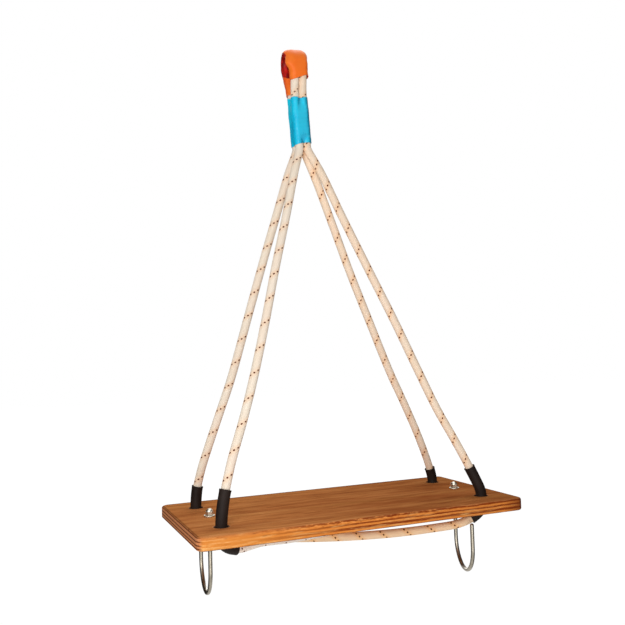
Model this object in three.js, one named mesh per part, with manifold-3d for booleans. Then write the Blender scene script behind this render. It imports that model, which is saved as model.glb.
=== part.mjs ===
// A hanging rope shelf: a plywood board hung on one rope, with two steel hooks under it.
// The rope runs from the eye at the top down each leg, through the board, and crosses below it.
// Millimetres, +Z up, board level, length along X, front towards -Y.
// The origin is the bearing point inside the top of the rope eye, where the shelf hangs.
import * as THREE from 'three';
import { mergeVertices } from 'three/addons/utils/BufferGeometryUtils.js';
import Module from 'manifold-3d';

const wasm = await Module();
wasm.setup();

// Board
const BOARD_LENGTH = 500;
const BOARD_WIDTH = 236;
const BOARD_THICKNESS = 18;
const BOARD_CORNER_RADIUS = 12;
const BOARD_EDGE_ROUND = 3;
const ROPE_HOLE_END_INSET = 44;
const ROPE_HOLE_SIDE_INSET = 48;
const ROPE_HOLE_CLEARANCE = 1.25;
const ROPE_HOLE_RIM_ROUND = 1.5;
const BOLT_END_INSET = 46;
const BOLT_HOLE_CLEARANCE = 0.5;

// Where the eye is over the board
const EYE_HEIGHT = 676.5;
const EYE_SHIFT = 56;
const HEAD_LEAN_DEG = 3.6;

// Rope
const ROPE_DIAMETER = 12.5;
const STRAND_GAP = 0.3;
const END_GAP = 0.3;
const EYE_LENGTH = 60;
const EYE_INNER_RADIUS = 9.5;

// Sleeves at the board, with the length of each above the board and below it
const SLEEVE_WALL = 1.55;
const SLEEVE_GAP = 0.45;
const SLEEVE_ABOVE_FRONT_LEFT = 48;
const SLEEVE_BELOW_FRONT_LEFT = 32;
const SLEEVE_ABOVE_BACK_LEFT = 32;
const SLEEVE_BELOW_BACK_LEFT = 30;
const SLEEVE_ABOVE_FRONT_RIGHT = 48;
const SLEEVE_BELOW_FRONT_RIGHT = 23;
const SLEEVE_ABOVE_BACK_RIGHT = 25;
const SLEEVE_BELOW_BACK_RIGHT = 30;

// Binding band
const BAND_LENGTH = 73.5;
const BAND_WALL = 0.8;
const BAND_GAP = 0.3;
const BAND_CREASE_DEG = 38;
const BAND_END_SLANT = 3;
const BAND_TOP_DIP = 1.5;

// Eye protector
const PROTECTOR_WALL = 1.2;
const PROTECTOR_GAP = 0.5;
const PROTECTOR_FRONT_DROP = 34;
const PROTECTOR_BACK_DROP = 54.5;
const PROTECTOR_FRONT_SLANT = 9.5;
const PROTECTOR_BACK_TIP = 4;

// Hooks and their fasteners
const HOOK_WIRE = 6;
const HOOK_PASS_CLEARANCE = 0.75;
const HOOK_DROP = 98.5;
const HOOK_MOUTH = 20;
const HOOK_LEFT_TURN_DEG = 85;
const HOOK_RIGHT_TURN_DEG = -106;
const FASTENER_BORE_GAP = 0.3;
const SEAT_GAP = 0.3;
const NUT_FLATS = 10;
const NUT_HEIGHT = 5;
const CAP_NUT_HEX_HEIGHT = 5;
const CAP_NUT_DOME_HEIGHT = 4;
const CAP_NUT_DOME_WALL = 2.4;
const BOLT_TIP_ROOM = 0.6;
const WASHER_DIAMETER = 16;
const WASHER_THICKNESS = 1.6;
const BOLT_TIP_CHAMFER = 0.7;
const TIP_FLAT_SHARE = 0.8;
const DOME_SHARE = 0.94;

// How finely round things are cut
const ROPE_SIDES = 10;
const WIRE_SIDES = 12;
const BEND_STEP = 6;
const EYE_STEP = 4.2;
const RUN_STEP = 31;
const LENGTH_DIVISIONS = 60;
const LENGTH_SEARCH_SHARE = 0.001;
const CREASE_STEPS = 6;
const HOSE_STEPS = 6;
const HOOK_BEND_STEPS = 14;
const HOOK_TIP_STEPS = 3;
const DOME_STEPS = 6;
const WASHER_SEGMENTS = 24;
const CORNER_SEGMENTS = 8;
const EDGE_SEGMENTS = 3;
const HOLE_SEGMENTS = 24;
const FASTENER_SEGMENTS = 16;
const CUT_OVERRUN = 1;

// Sizes that follow from those above
const ROPE_RADIUS = ROPE_DIAMETER / 2;
const STRAND_OFFSET = ROPE_RADIUS + STRAND_GAP / 2;
const SLEEVE_BORE_RADIUS = ROPE_RADIUS + SLEEVE_GAP;
const SLEEVE_RADIUS = SLEEVE_BORE_RADIUS + SLEEVE_WALL;
const ROPE_HOLE_RADIUS = SLEEVE_RADIUS + ROPE_HOLE_CLEARANCE;
const ROPE_HOLE_X = BOARD_LENGTH / 2 - ROPE_HOLE_END_INSET;
const ROPE_HOLE_Y = BOARD_WIDTH / 2 - ROPE_HOLE_SIDE_INSET;
const BOLT_X = BOARD_LENGTH / 2 - BOLT_END_INSET;
const WIRE_RADIUS = HOOK_WIRE / 2;
const HOOK_REACH = ROPE_HOLE_Y + SLEEVE_RADIUS + WIRE_RADIUS + HOOK_PASS_CLEARANCE;
const EYE_RADIUS = EYE_INNER_RADIUS + ROPE_RADIUS;
const EYE_CENTRE = PROTECTOR_WALL + PROTECTOR_GAP - EYE_INNER_RADIUS;
const BAND_TOP = -EYE_LENGTH;
const BAND_BOTTOM = BAND_TOP - BAND_LENGTH;
const BAND_MIDDLE = (BAND_TOP + BAND_BOTTOM) / 2;
const HEAD_LEAN = THREE.MathUtils.degToRad(HEAD_LEAN_DEG);

// Rope route, chosen by hand from the photographed ropes.
// Legs: how far up the leg as a share, and how far it bows outwards in rope diameters.
const LEG_WAY_SHARES = [0.05, 0.1, 0.16, 0.25, 0.35, 0.5, 0.65, 0.8, 0.92];
const BOW_SHARES = {
  front_left: [0.42, 0.5, 0.42, 0.02, -0.24, -0.3, -0.17, -0.2, -0.1],
  back_left: [0.5, 0.62, 0.54, 0.33, 0.1, 0.12, 0.15, 0.1, 0.05],
  front_right: [0.3, 0.26, 0.14, -0.11, -0.09, 0.02, -0.02, -0.03, 0.05],
  back_right: [0.5, 0.6, 0.58, 0.34, -0.03, -0.19, -0.28, -0.13, -0.05],
};
// How far a leg runs straight out of the board and out of the band, in rope diameters.
const LEG_RISE_SHARE = 0.5;
const BAND_RUN_SHARE = 0.35;
// Where the rope starts to bend round the hole's rim: how far up the board's thickness.
const BEND_START_SHARE = 0.25;
// Round the rim and on: how far from the hole and how far below the board, both in rope diameters.
const RIM_BEND_SHARES = [[0.05, -0.02], [0.17, 0.28], [0.38, 0.55]];
const UPPER_BEND_SHARES = [
  ...RIM_BEND_SHARES, [0.7, 0.8], [1.12, 1.02], [1.76, 1.19], [2.64, 1.27], [3.6, 1.22],
];
const LOWER_BEND_SHARES = [...RIM_BEND_SHARES, [0.75, 0.88], [1.28, 1.23], [2.16, 1.63], [3.36, 1.95]];
// Further in: the share of the whole crossing, and how far below the board in rope diameters.
const UPPER_SAG_SHARES = [[0.15, 1.15], [0.25, 1.47], [0.35, 1.66], [0.5, 1.77]];
const LOWER_SAG_SHARES = [[0.18, 2.28], [0.26, 2.52], [0.35, 2.7], [0.5, 2.81]];

// The band's rows: the share of its height, and how much of the crease is left there.
const BAND_ROW_SHARES = [
  [0, 1], [0.05, 0.8], [0.12, 0.3], [0.2, 0], [0.8, 0], [0.88, 0.3], [0.95, 0.8], [1, 1],
];
// The eye: shares of the way up a strand, and turns over the top.
const EYE_RISE_SHARES = [0, 0.25, 0.5, 0.75, 1];
const EYE_TURNS_DEG = [30, 60, 90, 120, 150];
const RIM_SHARES = [0, 1 / 3, 2 / 3, 1];

// Materials
const plywood = new THREE.MeshStandardMaterial({ color: 0x9a6436, roughness: 0.5, metalness: 0 });
const ropeSheath = new THREE.MeshStandardMaterial({ color: 0xe9dcc6, roughness: 0.85, metalness: 0 });
const blackShrink = new THREE.MeshStandardMaterial({ color: 0x1d1a19, roughness: 0.75, metalness: 0 });
const blueShrink = new THREE.MeshStandardMaterial({ color: 0x1fb0dc, roughness: 0.3, metalness: 0 });
const orangePlastic = new THREE.MeshStandardMaterial({ color: 0xff6a26, roughness: 0.45, metalness: 0 });
const zincSteel = new THREE.MeshStandardMaterial({ color: 0xb9b6ae, roughness: 0.3, metalness: 1 });

// The shelf and the leaning head above it
const shelf = new THREE.Group();
const head = new THREE.Group();
head.rotation.y = -HEAD_LEAN;
shelf.add(head);

function addMesh(parent, name, geometry, material) {
  const mesh = new THREE.Mesh(geometry, material);
  mesh.name = name;
  parent.add(mesh);
  return mesh;
}

// A point given from the middle of the board's top face
function boardPoint(x, y, z) {
  return new THREE.Vector3(EYE_SHIFT + x, y, z - EYE_HEIGHT);
}

// A point given along the leaning head, from the eye's bearing point
function headPoint(x, y, z) {
  return new THREE.Vector3(x, y, z).applyAxisAngle(new THREE.Vector3(0, 1, 0), -HEAD_LEAN);
}

// Closed solids for joining and cutting
function toSolid(geometry) {
  const bare = geometry.clone();
  bare.deleteAttribute('normal');
  bare.deleteAttribute('uv');
  const merged = mergeVertices(bare);
  const vertProperties = new Float32Array(merged.attributes.position.array);
  const triVerts = new Uint32Array(merged.index.array);
  return new wasm.Manifold(new wasm.Mesh({ numProp: 3, vertProperties, triVerts }));
}

function toGeometry(solid) {
  const mesh = solid.getMesh();
  const geometry = new THREE.BufferGeometry();
  geometry.setAttribute('position', new THREE.BufferAttribute(mesh.vertProperties, mesh.numProp));
  geometry.setIndex(new THREE.BufferAttribute(mesh.triVerts, 1));
  return geometry;
}

// A solid turned about Z from [radius, height] pairs that start and end on the axis or close
function turned(profile, segments) {
  const points = profile.map(([radius, height]) => new THREE.Vector2(radius, height));
  return new THREE.LatheGeometry(points, segments).rotateX(Math.PI / 2);
}

// A geometry from rings of points: a closed loop of rings, or a run of them with a flat end each way.
// Where the ends close, each ring's second half comes back along its first, so strips fill the end.
function lofted(rings, looped) {
  const positions = rings.flat().flatMap((p) => [p.x, p.y, p.z]);
  const around = rings[0].length;
  const faces = [];
  const at = (ring, i) => (ring % rings.length) * around + (i % around);
  const last = looped ? rings.length : rings.length - 1;
  for (let ring = 0; ring < last; ring += 1) {
    for (let i = 0; i < around; i += 1) {
      faces.push(at(ring, i), at(ring, i + 1), at(ring + 1, i + 1));
      faces.push(at(ring, i), at(ring + 1, i + 1), at(ring + 1, i));
    }
  }
  for (let i = 0; !looped && i < around / 2 - 1; i += 1) {
    const [a, b, c, d] = [i, i + 1, around - 2 - i, around - 1 - i];
    faces.push(at(0, a), at(0, c), at(0, b), at(0, a), at(0, d), at(0, c));
    faces.push(at(last, a), at(last, b), at(last, c), at(last, a), at(last, c), at(last, d));
  }
  const geometry = new THREE.BufferGeometry();
  geometry.setAttribute('position', new THREE.Float32BufferAttribute(positions, 3));
  geometry.setIndex(faces);
  return geometry;
}

// A path of chosen stations, each turned only as far as a fixed side direction asks
class StationPath extends THREE.Curve {
  constructor(stations, side) {
    super();
    this.stations = stations;
    this.side = side;
  }

  getPoint(share, target = new THREE.Vector3()) {
    const place = Math.round(share * (this.stations.length - 1));
    return target.copy(this.stations[place].point);
  }

  getSpacedPoints() {
    return this.stations.map((station) => station.point.clone());
  }

  computeFrenetFrames() {
    const tangents = this.stations.map((station) => station.tangent.clone());
    const normals = tangents.map((tangent) => this.side.clone().projectOnPlane(tangent).normalize());
    const binormals = tangents.map((tangent, i) => tangent.clone().cross(normals[i]));
    return { tangents, normals, binormals };
  }
}

// Stations at the given distances along a smooth curve through the points
function stationsAlong(curve, distances) {
  const whole = curve.getLength();
  return distances.map((distance) => ({
    point: curve.getPointAt(THREE.MathUtils.clamp(distance / whole, 0, 1)),
    tangent: curve.getTangentAt(THREE.MathUtils.clamp(distance / whole, 0, 1)),
  }));
}

function smoothCurve(points) {
  const curve = new THREE.CatmullRomCurve3(points, false, 'centripetal');
  curve.arcLengthDivisions = points.length * LENGTH_DIVISIONS;
  return curve;
}

// Evenly spaced distances from one end to the other, no further apart than the step
function spread(from, to, step) {
  const count = Math.max(1, Math.ceil((to - from) / step));
  return Array.from({ length: count }, (_, i) => from + ((to - from) * i) / count);
}

function roundTube(stations, side, radius, boreRadius) {
  const section = new THREE.Shape().absarc(0, 0, radius, 0, Math.PI * 2, false);
  if (boreRadius) {
    section.holes.push(new THREE.Path().absarc(0, 0, boreRadius, 0, Math.PI * 2, true));
  }
  return new THREE.ExtrudeGeometry(section, {
    steps: stations.length - 1,
    curveSegments: ROPE_SIDES / 2,
    extrudePath: new StationPath(stations, side),
  });
}

// The four corners of the board, each with its leg of the rope and its sleeve
const corners = {
  front_left: { x: -1, y: -1, above: SLEEVE_ABOVE_FRONT_LEFT, below: SLEEVE_BELOW_FRONT_LEFT },
  back_left: { x: -1, y: 1, above: SLEEVE_ABOVE_BACK_LEFT, below: SLEEVE_BELOW_BACK_LEFT },
  front_right: { x: 1, y: -1, above: SLEEVE_ABOVE_FRONT_RIGHT, below: SLEEVE_BELOW_FRONT_RIGHT },
  back_right: { x: 1, y: 1, above: SLEEVE_ABOVE_BACK_RIGHT, below: SLEEVE_BELOW_BACK_RIGHT },
};

// The board is one panel with rounded corners and edges, drilled for the ropes and the hooks.
function boardBlank() {
  const halfLength = BOARD_LENGTH / 2 - BOARD_EDGE_ROUND;
  const halfWidth = BOARD_WIDTH / 2 - BOARD_EDGE_ROUND;
  const radius = BOARD_CORNER_RADIUS - BOARD_EDGE_ROUND;
  const outline = new THREE.Shape();
  outline.moveTo(halfLength - radius, -halfWidth);
  outline.absarc(halfLength - radius, -halfWidth + radius, radius, -Math.PI / 2, 0, false);
  outline.absarc(halfLength - radius, halfWidth - radius, radius, 0, Math.PI / 2, false);
  outline.absarc(-halfLength + radius, halfWidth - radius, radius, Math.PI / 2, Math.PI, false);
  outline.absarc(-halfLength + radius, -halfWidth + radius, radius, Math.PI, Math.PI * 1.5, false);
  const blank = new THREE.ExtrudeGeometry(outline, {
    depth: BOARD_THICKNESS - 2 * BOARD_EDGE_ROUND,
    curveSegments: CORNER_SEGMENTS,
    bevelThickness: BOARD_EDGE_ROUND,
    bevelSize: BOARD_EDGE_ROUND,
    bevelSegments: EDGE_SEGMENTS,
  });
  return blank.translate(0, 0, BOARD_EDGE_ROUND - BOARD_THICKNESS);
}

// A cutter for a hole through the board, its rims rounded over
function holeCutter(radius, rimRound, segments) {
  const flare = (share, end) => {
    const angle = (share * Math.PI) / 2;
    const out = radius + rimRound * (1 - Math.cos(angle));
    const depth = rimRound * (1 - Math.sin(angle));
    return end > 0 ? [out, -depth] : [out, depth - BOARD_THICKNESS];
  };
  const profile = [
    [0, -BOARD_THICKNESS - CUT_OVERRUN],
    [radius + rimRound, -BOARD_THICKNESS - CUT_OVERRUN],
    ...RIM_SHARES.map((share) => flare(share, -1)).reverse(),
    ...RIM_SHARES.map((share) => flare(share, 1)),
    [radius + rimRound, CUT_OVERRUN],
    [0, CUT_OVERRUN],
  ];
  return turned(profile, segments);
}

function plainCutter(radius, segments) {
  const profile = [
    [0, -BOARD_THICKNESS - CUT_OVERRUN],
    [radius, -BOARD_THICKNESS - CUT_OVERRUN],
    [radius, CUT_OVERRUN],
    [0, CUT_OVERRUN],
  ];
  return turned(profile, segments);
}

function addBoard() {
  let solid = toSolid(boardBlank());
  for (const corner of Object.values(corners)) {
    const cutter = holeCutter(ROPE_HOLE_RADIUS, ROPE_HOLE_RIM_ROUND, HOLE_SEGMENTS);
    cutter.translate(corner.x * ROPE_HOLE_X, corner.y * ROPE_HOLE_Y, 0);
    solid = solid.subtract(toSolid(cutter));
  }
  for (const end of [-1, 1]) {
    const cutter = plainCutter(WIRE_RADIUS + BOLT_HOLE_CLEARANCE, FASTENER_SEGMENTS);
    cutter.translate(end * BOLT_X, 0, 0);
    solid = solid.subtract(toSolid(cutter));
  }
  const board = addMesh(shelf, 'seat_board', toGeometry(solid), plywood);
  board.position.copy(boardPoint(0, 0, 0));
}

// One leg, from the middle of the board's thickness to the middle of the band
function legCurve(name) {
  const { x, y } = corners[name];
  const hole = boardPoint(x * ROPE_HOLE_X, y * ROPE_HOLE_Y, 0);
  const entry = headPoint(x * STRAND_OFFSET, y * STRAND_OFFSET, BAND_BOTTOM);
  const way = entry.clone().sub(hole);
  const level = new THREE.Vector3(-way.x, -way.y, 0).normalize();
  const outwards = level.projectOnPlane(way.clone().normalize()).normalize();
  const points = [
    boardPoint(x * ROPE_HOLE_X, y * ROPE_HOLE_Y, -BOARD_THICKNESS / 2),
    boardPoint(x * ROPE_HOLE_X, y * ROPE_HOLE_Y, LEG_RISE_SHARE * ROPE_DIAMETER),
  ];
  LEG_WAY_SHARES.forEach((share, i) => {
    const bow = BOW_SHARES[name][i] * ROPE_DIAMETER;
    points.push(hole.clone().lerp(entry, share).addScaledVector(outwards, bow));
  });
  for (const height of [BAND_BOTTOM - BAND_RUN_SHARE * ROPE_DIAMETER, BAND_BOTTOM, BAND_MIDDLE]) {
    points.push(headPoint(x * STRAND_OFFSET, y * STRAND_OFFSET, height));
  }
  return smoothCurve(points);
}

// One crossing under the board, from the middle of the board's thickness at each end
function crossingCurve(from, to, bendShares, sagShares) {
  const start = boardPoint(corners[from].x * ROPE_HOLE_X, corners[from].y * ROPE_HOLE_Y, 0);
  const end = boardPoint(corners[to].x * ROPE_HOLE_X, corners[to].y * ROPE_HOLE_Y, 0);
  const whole = start.distanceTo(end);
  const place = (distance, depth) => {
    const point = start.clone().lerp(end, distance / whole);
    point.z -= BOARD_THICKNESS + depth;
    return point;
  };
  const near = [
    [0, -BOARD_THICKNESS / 2],
    [0, -BEND_START_SHARE * BOARD_THICKNESS],
    ...bendShares.map(([away, depth]) => [away * ROPE_DIAMETER, depth * ROPE_DIAMETER]),
    ...sagShares.map(([share, depth]) => [share * whole, depth * ROPE_DIAMETER]),
  ];
  const far = near.slice(0, -1).map(([away, depth]) => [whole - away, depth]).reverse();
  return smoothCurve([...near, ...far].map(([away, depth]) => place(away, depth)));
}

// Both pieces of rope at a corner share their stations with the sleeve round them.
const halfEnd = END_GAP / 2;
const halfBoard = BOARD_THICKNESS / 2;

function turnRound({ point, tangent }) {
  return { point, tangent: tangent.clone().negate() };
}

function legRun(name) {
  const curve = legCurve(name);
  const whole = curve.getLength();
  const { above } = corners[name];
  const bandEntry = whole - BAND_LENGTH / 2 - 3 * ROPE_DIAMETER;
  const inSleeve = [...spread(halfEnd, halfBoard + above, 2 * BEND_STEP), halfBoard + above];
  const distances = [
    ...inSleeve,
    ...spread(halfBoard + above, bandEntry, RUN_STEP).slice(1),
    ...spread(bandEntry, whole - halfEnd, 2 * BEND_STEP),
    whole - halfEnd,
  ];
  const stations = stationsAlong(curve, distances);
  return { stations, sleeve: stations.slice(0, inSleeve.length) };
}

function crossingRun(from, to, bendShares, sagShares) {
  const curve = crossingCurve(from, to, bendShares, sagShares);
  const whole = curve.getLength();
  const endLengths = [from, to].map((name) => halfBoard + corners[name].below);
  const nearEnd = [...spread(halfEnd, endLengths[0], BEND_STEP), endLengths[0]];
  const farEnd = [...spread(halfEnd, endLengths[1], BEND_STEP), endLengths[1]];
  const distances = [
    ...nearEnd,
    ...spread(endLengths[0], whole - endLengths[1], RUN_STEP).slice(1),
    ...farEnd.map((distance) => whole - distance).reverse(),
  ];
  const stations = stationsAlong(curve, distances);
  return {
    stations,
    nearSleeve: stations.slice(0, nearEnd.length),
    farSleeve: stations.slice(-farEnd.length).reverse().map(turnRound),
  };
}

function addRopeAndSleeves() {
  const crossings = [
    ['rope_crossing_upper', 'front_left', 'back_right', UPPER_BEND_SHARES, UPPER_SAG_SHARES],
    ['rope_crossing_lower', 'front_right', 'back_left', LOWER_BEND_SHARES, LOWER_SAG_SHARES],
  ];
  for (const [nodeName, from, to, bendShares, sagShares] of crossings) {
    const crossing = crossingRun(from, to, bendShares, sagShares);
    const start = new THREE.Vector3(corners[from].x * ROPE_HOLE_X, corners[from].y * ROPE_HOLE_Y, 0);
    const side = start.cross(new THREE.Vector3(0, 0, 1)).normalize();
    const tube = roundTube(crossing.stations, side, ROPE_RADIUS);
    addMesh(shelf, nodeName, tube, ropeSheath);
    for (const [name, below] of [[from, crossing.nearSleeve], [to, crossing.farSleeve]]) {
      const leg = legRun(name);
      addMesh(shelf, `rope_leg_${name}`, roundTube(leg.stations, side, ROPE_RADIUS), ropeSheath);
      const path = [...leg.sleeve.slice().reverse().map(turnRound), ...below];
      addMesh(shelf, `sleeve_${name}`, roundTube(path, side, SLEEVE_RADIUS, SLEEVE_BORE_RADIUS), blackShrink);
    }
  }
}

// The eye: two bights side by side, each over the top from its front strand to its back one
function eyeCurve(x) {
  const strand = (share) => {
    const ease = share * share * (3 - 2 * share);
    const y = STRAND_OFFSET + (EYE_RADIUS - STRAND_OFFSET) * ease;
    return [y, BAND_TOP + (EYE_CENTRE - BAND_TOP) * share];
  };
  const frontHalf = [[STRAND_OFFSET, BAND_MIDDLE], ...EYE_RISE_SHARES.map(strand)];
  const points = frontHalf.map(([y, z]) => new THREE.Vector3(x, -y, z));
  for (const turn of EYE_TURNS_DEG) {
    const angle = THREE.MathUtils.degToRad(turn);
    const [y, rise] = [-EYE_RADIUS * Math.cos(angle), EYE_RADIUS * Math.sin(angle)];
    points.push(new THREE.Vector3(x, y, EYE_CENTRE + rise));
  }
  points.push(...frontHalf.reverse().map(([y, z]) => new THREE.Vector3(x, y, z)));
  return smoothCurve(points);
}

// The two bights and the protector over them share these distances along the eye.
function eyeDistances(whole) {
  const inBand = BAND_LENGTH / 2;
  const bend = (Math.PI * EYE_RADIUS) / 2;
  return [
    ...spread(inBand, whole / 2 - bend, BEND_STEP),
    ...spread(whole / 2 - bend, whole / 2 + bend, EYE_STEP),
    ...spread(whole / 2 + bend, whole - inBand, BEND_STEP),
    whole - inBand,
  ];
}

function addEye() {
  const side = new THREE.Vector3(1, 0, 0);
  for (const [name, x] of [['left', -STRAND_OFFSET], ['right', STRAND_OFFSET]]) {
    const curve = eyeCurve(x);
    const whole = curve.getLength();
    const distances = [halfEnd, ...eyeDistances(whole), whole - halfEnd];
    const tube = roundTube(stationsAlong(curve, distances), side, ROPE_RADIUS);
    addMesh(head, `rope_eye_${name}`, tube, ropeSheath);
  }
}

// The band is a shrunk tube round the four strands, creased between them at its two ends.
// Its top edge dips at the creases, and its bottom edge hangs lowest at the left.
function bandRing(radius, heightShare, creaseShare) {
  const crease = THREE.MathUtils.degToRad(BAND_CREASE_DEG * creaseShare);
  const ring = [];
  for (const [x, y, start] of [[1, 1, 0], [-1, 1, 1], [-1, -1, 2], [1, -1, 3]]) {
    for (let i = 0; i <= CREASE_STEPS; i += 1) {
      const from = (start * Math.PI) / 2 - crease;
      const angle = from + ((Math.PI / 2 + 2 * crease) * i) / CREASE_STEPS;
      const across = x * STRAND_OFFSET + radius * Math.cos(angle);
      const out = y * STRAND_OFFSET + radius * Math.sin(angle);
      const toRight = Math.min(1, 1 + across / (STRAND_OFFSET + radius));
      const towardsCrease = Math.abs(i / CREASE_STEPS - 1 / 2) * 2;
      const bottom = BAND_BOTTOM + BAND_END_SLANT * toRight;
      const top = BAND_TOP - BAND_TOP_DIP * towardsCrease ** 2;
      ring.push(new THREE.Vector3(across, out, bottom + (top - bottom) * heightShare));
    }
  }
  return ring;
}

function addBand() {
  const wall = (radius) => BAND_ROW_SHARES.map(([height, crease]) => bandRing(radius, height, crease));
  const inner = wall(ROPE_RADIUS + BAND_GAP);
  const outer = wall(ROPE_RADIUS + BAND_GAP + BAND_WALL);
  addMesh(head, 'binding_band', lofted([...outer, ...inner.reverse()], true), blueShrink);
}

// The protector is a flattened hose over both bights, cut on a slant in front and rounded behind.
function hoseSection(radius) {
  const ring = [];
  for (const side of [1, -1]) {
    for (let i = 0; i <= HOSE_STEPS; i += 1) {
      const angle = (Math.PI * i) / HOSE_STEPS - (side * Math.PI) / 2;
      ring.push([side * STRAND_OFFSET + radius * Math.cos(angle), -radius * Math.sin(angle)]);
    }
  }
  return ring;
}

function addProtector() {
  const curve = eyeCurve(0);
  const whole = curve.getLength();
  const mouth = (drop) => {
    let share = 0;
    while (curve.getPointAt(share).z < -drop) {
      share += LENGTH_SEARCH_SHARE;
    }
    return share * whole;
  };
  const inner = ROPE_RADIUS + PROTECTOR_GAP;
  const outer = inner + PROTECTOR_WALL;
  const frontEnd = mouth(PROTECTOR_FRONT_DROP);
  const backEnd = whole - mouth(PROTECTOR_BACK_DROP);
  const frontTop = frontEnd + PROTECTOR_FRONT_SLANT + BEND_STEP / 2;
  const backTop = backEnd - PROTECTOR_BACK_TIP - BEND_STEP / 2;
  const between = eyeDistances(whole).filter((distance) => distance > frontTop && distance < backTop);
  const frontEdge = (right, out) => frontEnd + PROTECTOR_FRONT_SLANT * ((1 + right) / 2) * ((1 + out) / 2);
  const backEdge = (right) => backEnd - PROTECTOR_BACK_TIP * right * right;
  const rows = [
    frontEdge,
    (right, out) => (frontEdge(right, out) + between[0]) / 2,
    ...between.map((distance) => () => distance),
    (right) => (backEdge(right) + between[between.length - 1]) / 2,
    backEdge,
  ];
  const wall = (radius) => rows.map((row) => hoseSection(radius).map(([across, out]) => {
    const distance = row(across / (STRAND_OFFSET + radius), out / radius);
    const [{ point, tangent }] = stationsAlong(curve, [distance]);
    const outwards = new THREE.Vector3(0, -tangent.z, tangent.y);
    return new THREE.Vector3(across, point.y, point.z).addScaledVector(outwards, out);
  }));
  addMesh(head, 'eye_protector', lofted([...wall(outer), ...wall(inner).reverse()], true), orangePlastic);
}

// A hook is one bent rod: the bolt leg through the board, the bend, and the open free leg.
function hookRings() {
  const bend = HOOK_REACH / 2;
  const topEnd = SEAT_GAP + WASHER_THICKNESS + SEAT_GAP + CAP_NUT_HEX_HEIGHT + CAP_NUT_DOME_HEIGHT
    - CAP_NUT_DOME_WALL - BOLT_TIP_ROOM;
  const bendTop = -BOARD_THICKNESS - HOOK_DROP + bend;
  const tipTop = -BOARD_THICKNESS - HOOK_MOUTH;
  const rows = [];
  const addRow = (x, z, turn, radius) => rows.push({ x, z, turn, radius });
  addRow(0, topEnd, 0, WIRE_RADIUS - BOLT_TIP_CHAMFER);
  addRow(0, topEnd - BOLT_TIP_CHAMFER, 0, WIRE_RADIUS);
  for (let i = 0; i <= HOOK_BEND_STEPS; i += 1) {
    const turn = (Math.PI * i) / HOOK_BEND_STEPS;
    addRow(bend - bend * Math.cos(turn), bendTop - bend * Math.sin(turn), turn, WIRE_RADIUS);
  }
  for (let i = 0; i <= HOOK_TIP_STEPS; i += 1) {
    const rise = ((Math.PI / 2) * i) / (HOOK_TIP_STEPS + TIP_FLAT_SHARE);
    const height = tipTop - WIRE_RADIUS + WIRE_RADIUS * Math.sin(rise);
    addRow(HOOK_REACH, height, Math.PI, WIRE_RADIUS * Math.cos(rise));
  }
  return rows.map(({ x, z, turn, radius }) => {
    const ring = [];
    for (let i = 0; i < WIRE_SIDES; i += 1) {
      const angle = (-2 * Math.PI * (i + 1 / 2)) / WIRE_SIDES;
      const across = radius * Math.cos(angle);
      const [along, up] = [across * Math.cos(turn), across * Math.sin(turn)];
      ring.push(new THREE.Vector3(x + along, radius * Math.sin(angle), z + up));
    }
    return ring;
  });
}

function hexagon(height) {
  const corner = NUT_FLATS / Math.sqrt(3);
  const outline = new THREE.Shape();
  for (let i = 0; i < 6; i += 1) {
    const angle = (i * Math.PI) / 3;
    outline[i ? 'lineTo' : 'moveTo'](corner * Math.cos(angle), corner * Math.sin(angle));
  }
  outline.closePath();
  return new THREE.ExtrudeGeometry(outline, { depth: height, bevelEnabled: false });
}

// The corners of a nut are turned off at 30 degrees.
function cornerTurning(height, bottom, top) {
  const flat = NUT_FLATS / 2;
  const past = NUT_FLATS / Math.sqrt(3) + CUT_OVERRUN;
  const rise = (past - flat) * Math.tan(Math.PI / 6);
  const profile = [
    [0, 0],
    ...(bottom ? [[flat, 0], [past, rise]] : [[past, 0]]),
    ...(top ? [[past, height - rise], [flat, height]] : [[past, height]]),
    [0, height],
  ];
  return turned(profile, HOLE_SEGMENTS);
}

const nutBore = WIRE_RADIUS + FASTENER_BORE_GAP;

function boreCutter(from, to) {
  return turned([[0, from], [nutBore, from], [nutBore, to], [0, to]], FASTENER_SEGMENTS);
}

function lowerNut() {
  const body = toSolid(hexagon(NUT_HEIGHT)).intersect(toSolid(cornerTurning(NUT_HEIGHT, true, true)));
  return toGeometry(body.subtract(toSolid(boreCutter(-CUT_OVERRUN, NUT_HEIGHT + CUT_OVERRUN))));
}

function capNut() {
  const hex = toSolid(hexagon(CAP_NUT_HEX_HEIGHT));
  const shaped = hex.intersect(toSolid(cornerTurning(CAP_NUT_HEX_HEIGHT, false, true)));
  const domeRadius = (NUT_FLATS / 2) * DOME_SHARE;
  const profile = [[0, CAP_NUT_HEX_HEIGHT - CUT_OVERRUN], [domeRadius, CAP_NUT_HEX_HEIGHT - CUT_OVERRUN]];
  for (let i = 0; i <= DOME_STEPS; i += 1) {
    const angle = (Math.PI * i) / (2 * DOME_STEPS);
    const radius = i === DOME_STEPS ? 0 : domeRadius * Math.cos(angle);
    profile.push([radius, CAP_NUT_HEX_HEIGHT + CAP_NUT_DOME_HEIGHT * Math.sin(angle)]);
  }
  const whole = shaped.add(toSolid(turned(profile, FASTENER_SEGMENTS)));
  const boreTop = CAP_NUT_HEX_HEIGHT + CAP_NUT_DOME_HEIGHT - CAP_NUT_DOME_WALL;
  return toGeometry(whole.subtract(toSolid(boreCutter(-CUT_OVERRUN, boreTop))));
}

function washer() {
  const outer = WASHER_DIAMETER / 2;
  const profile = [
    [nutBore, 0],
    [outer, 0],
    [outer, WASHER_THICKNESS],
    [nutBore, WASHER_THICKNESS],
    [nutBore, 0],
  ];
  return turned(profile, WASHER_SEGMENTS);
}

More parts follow.
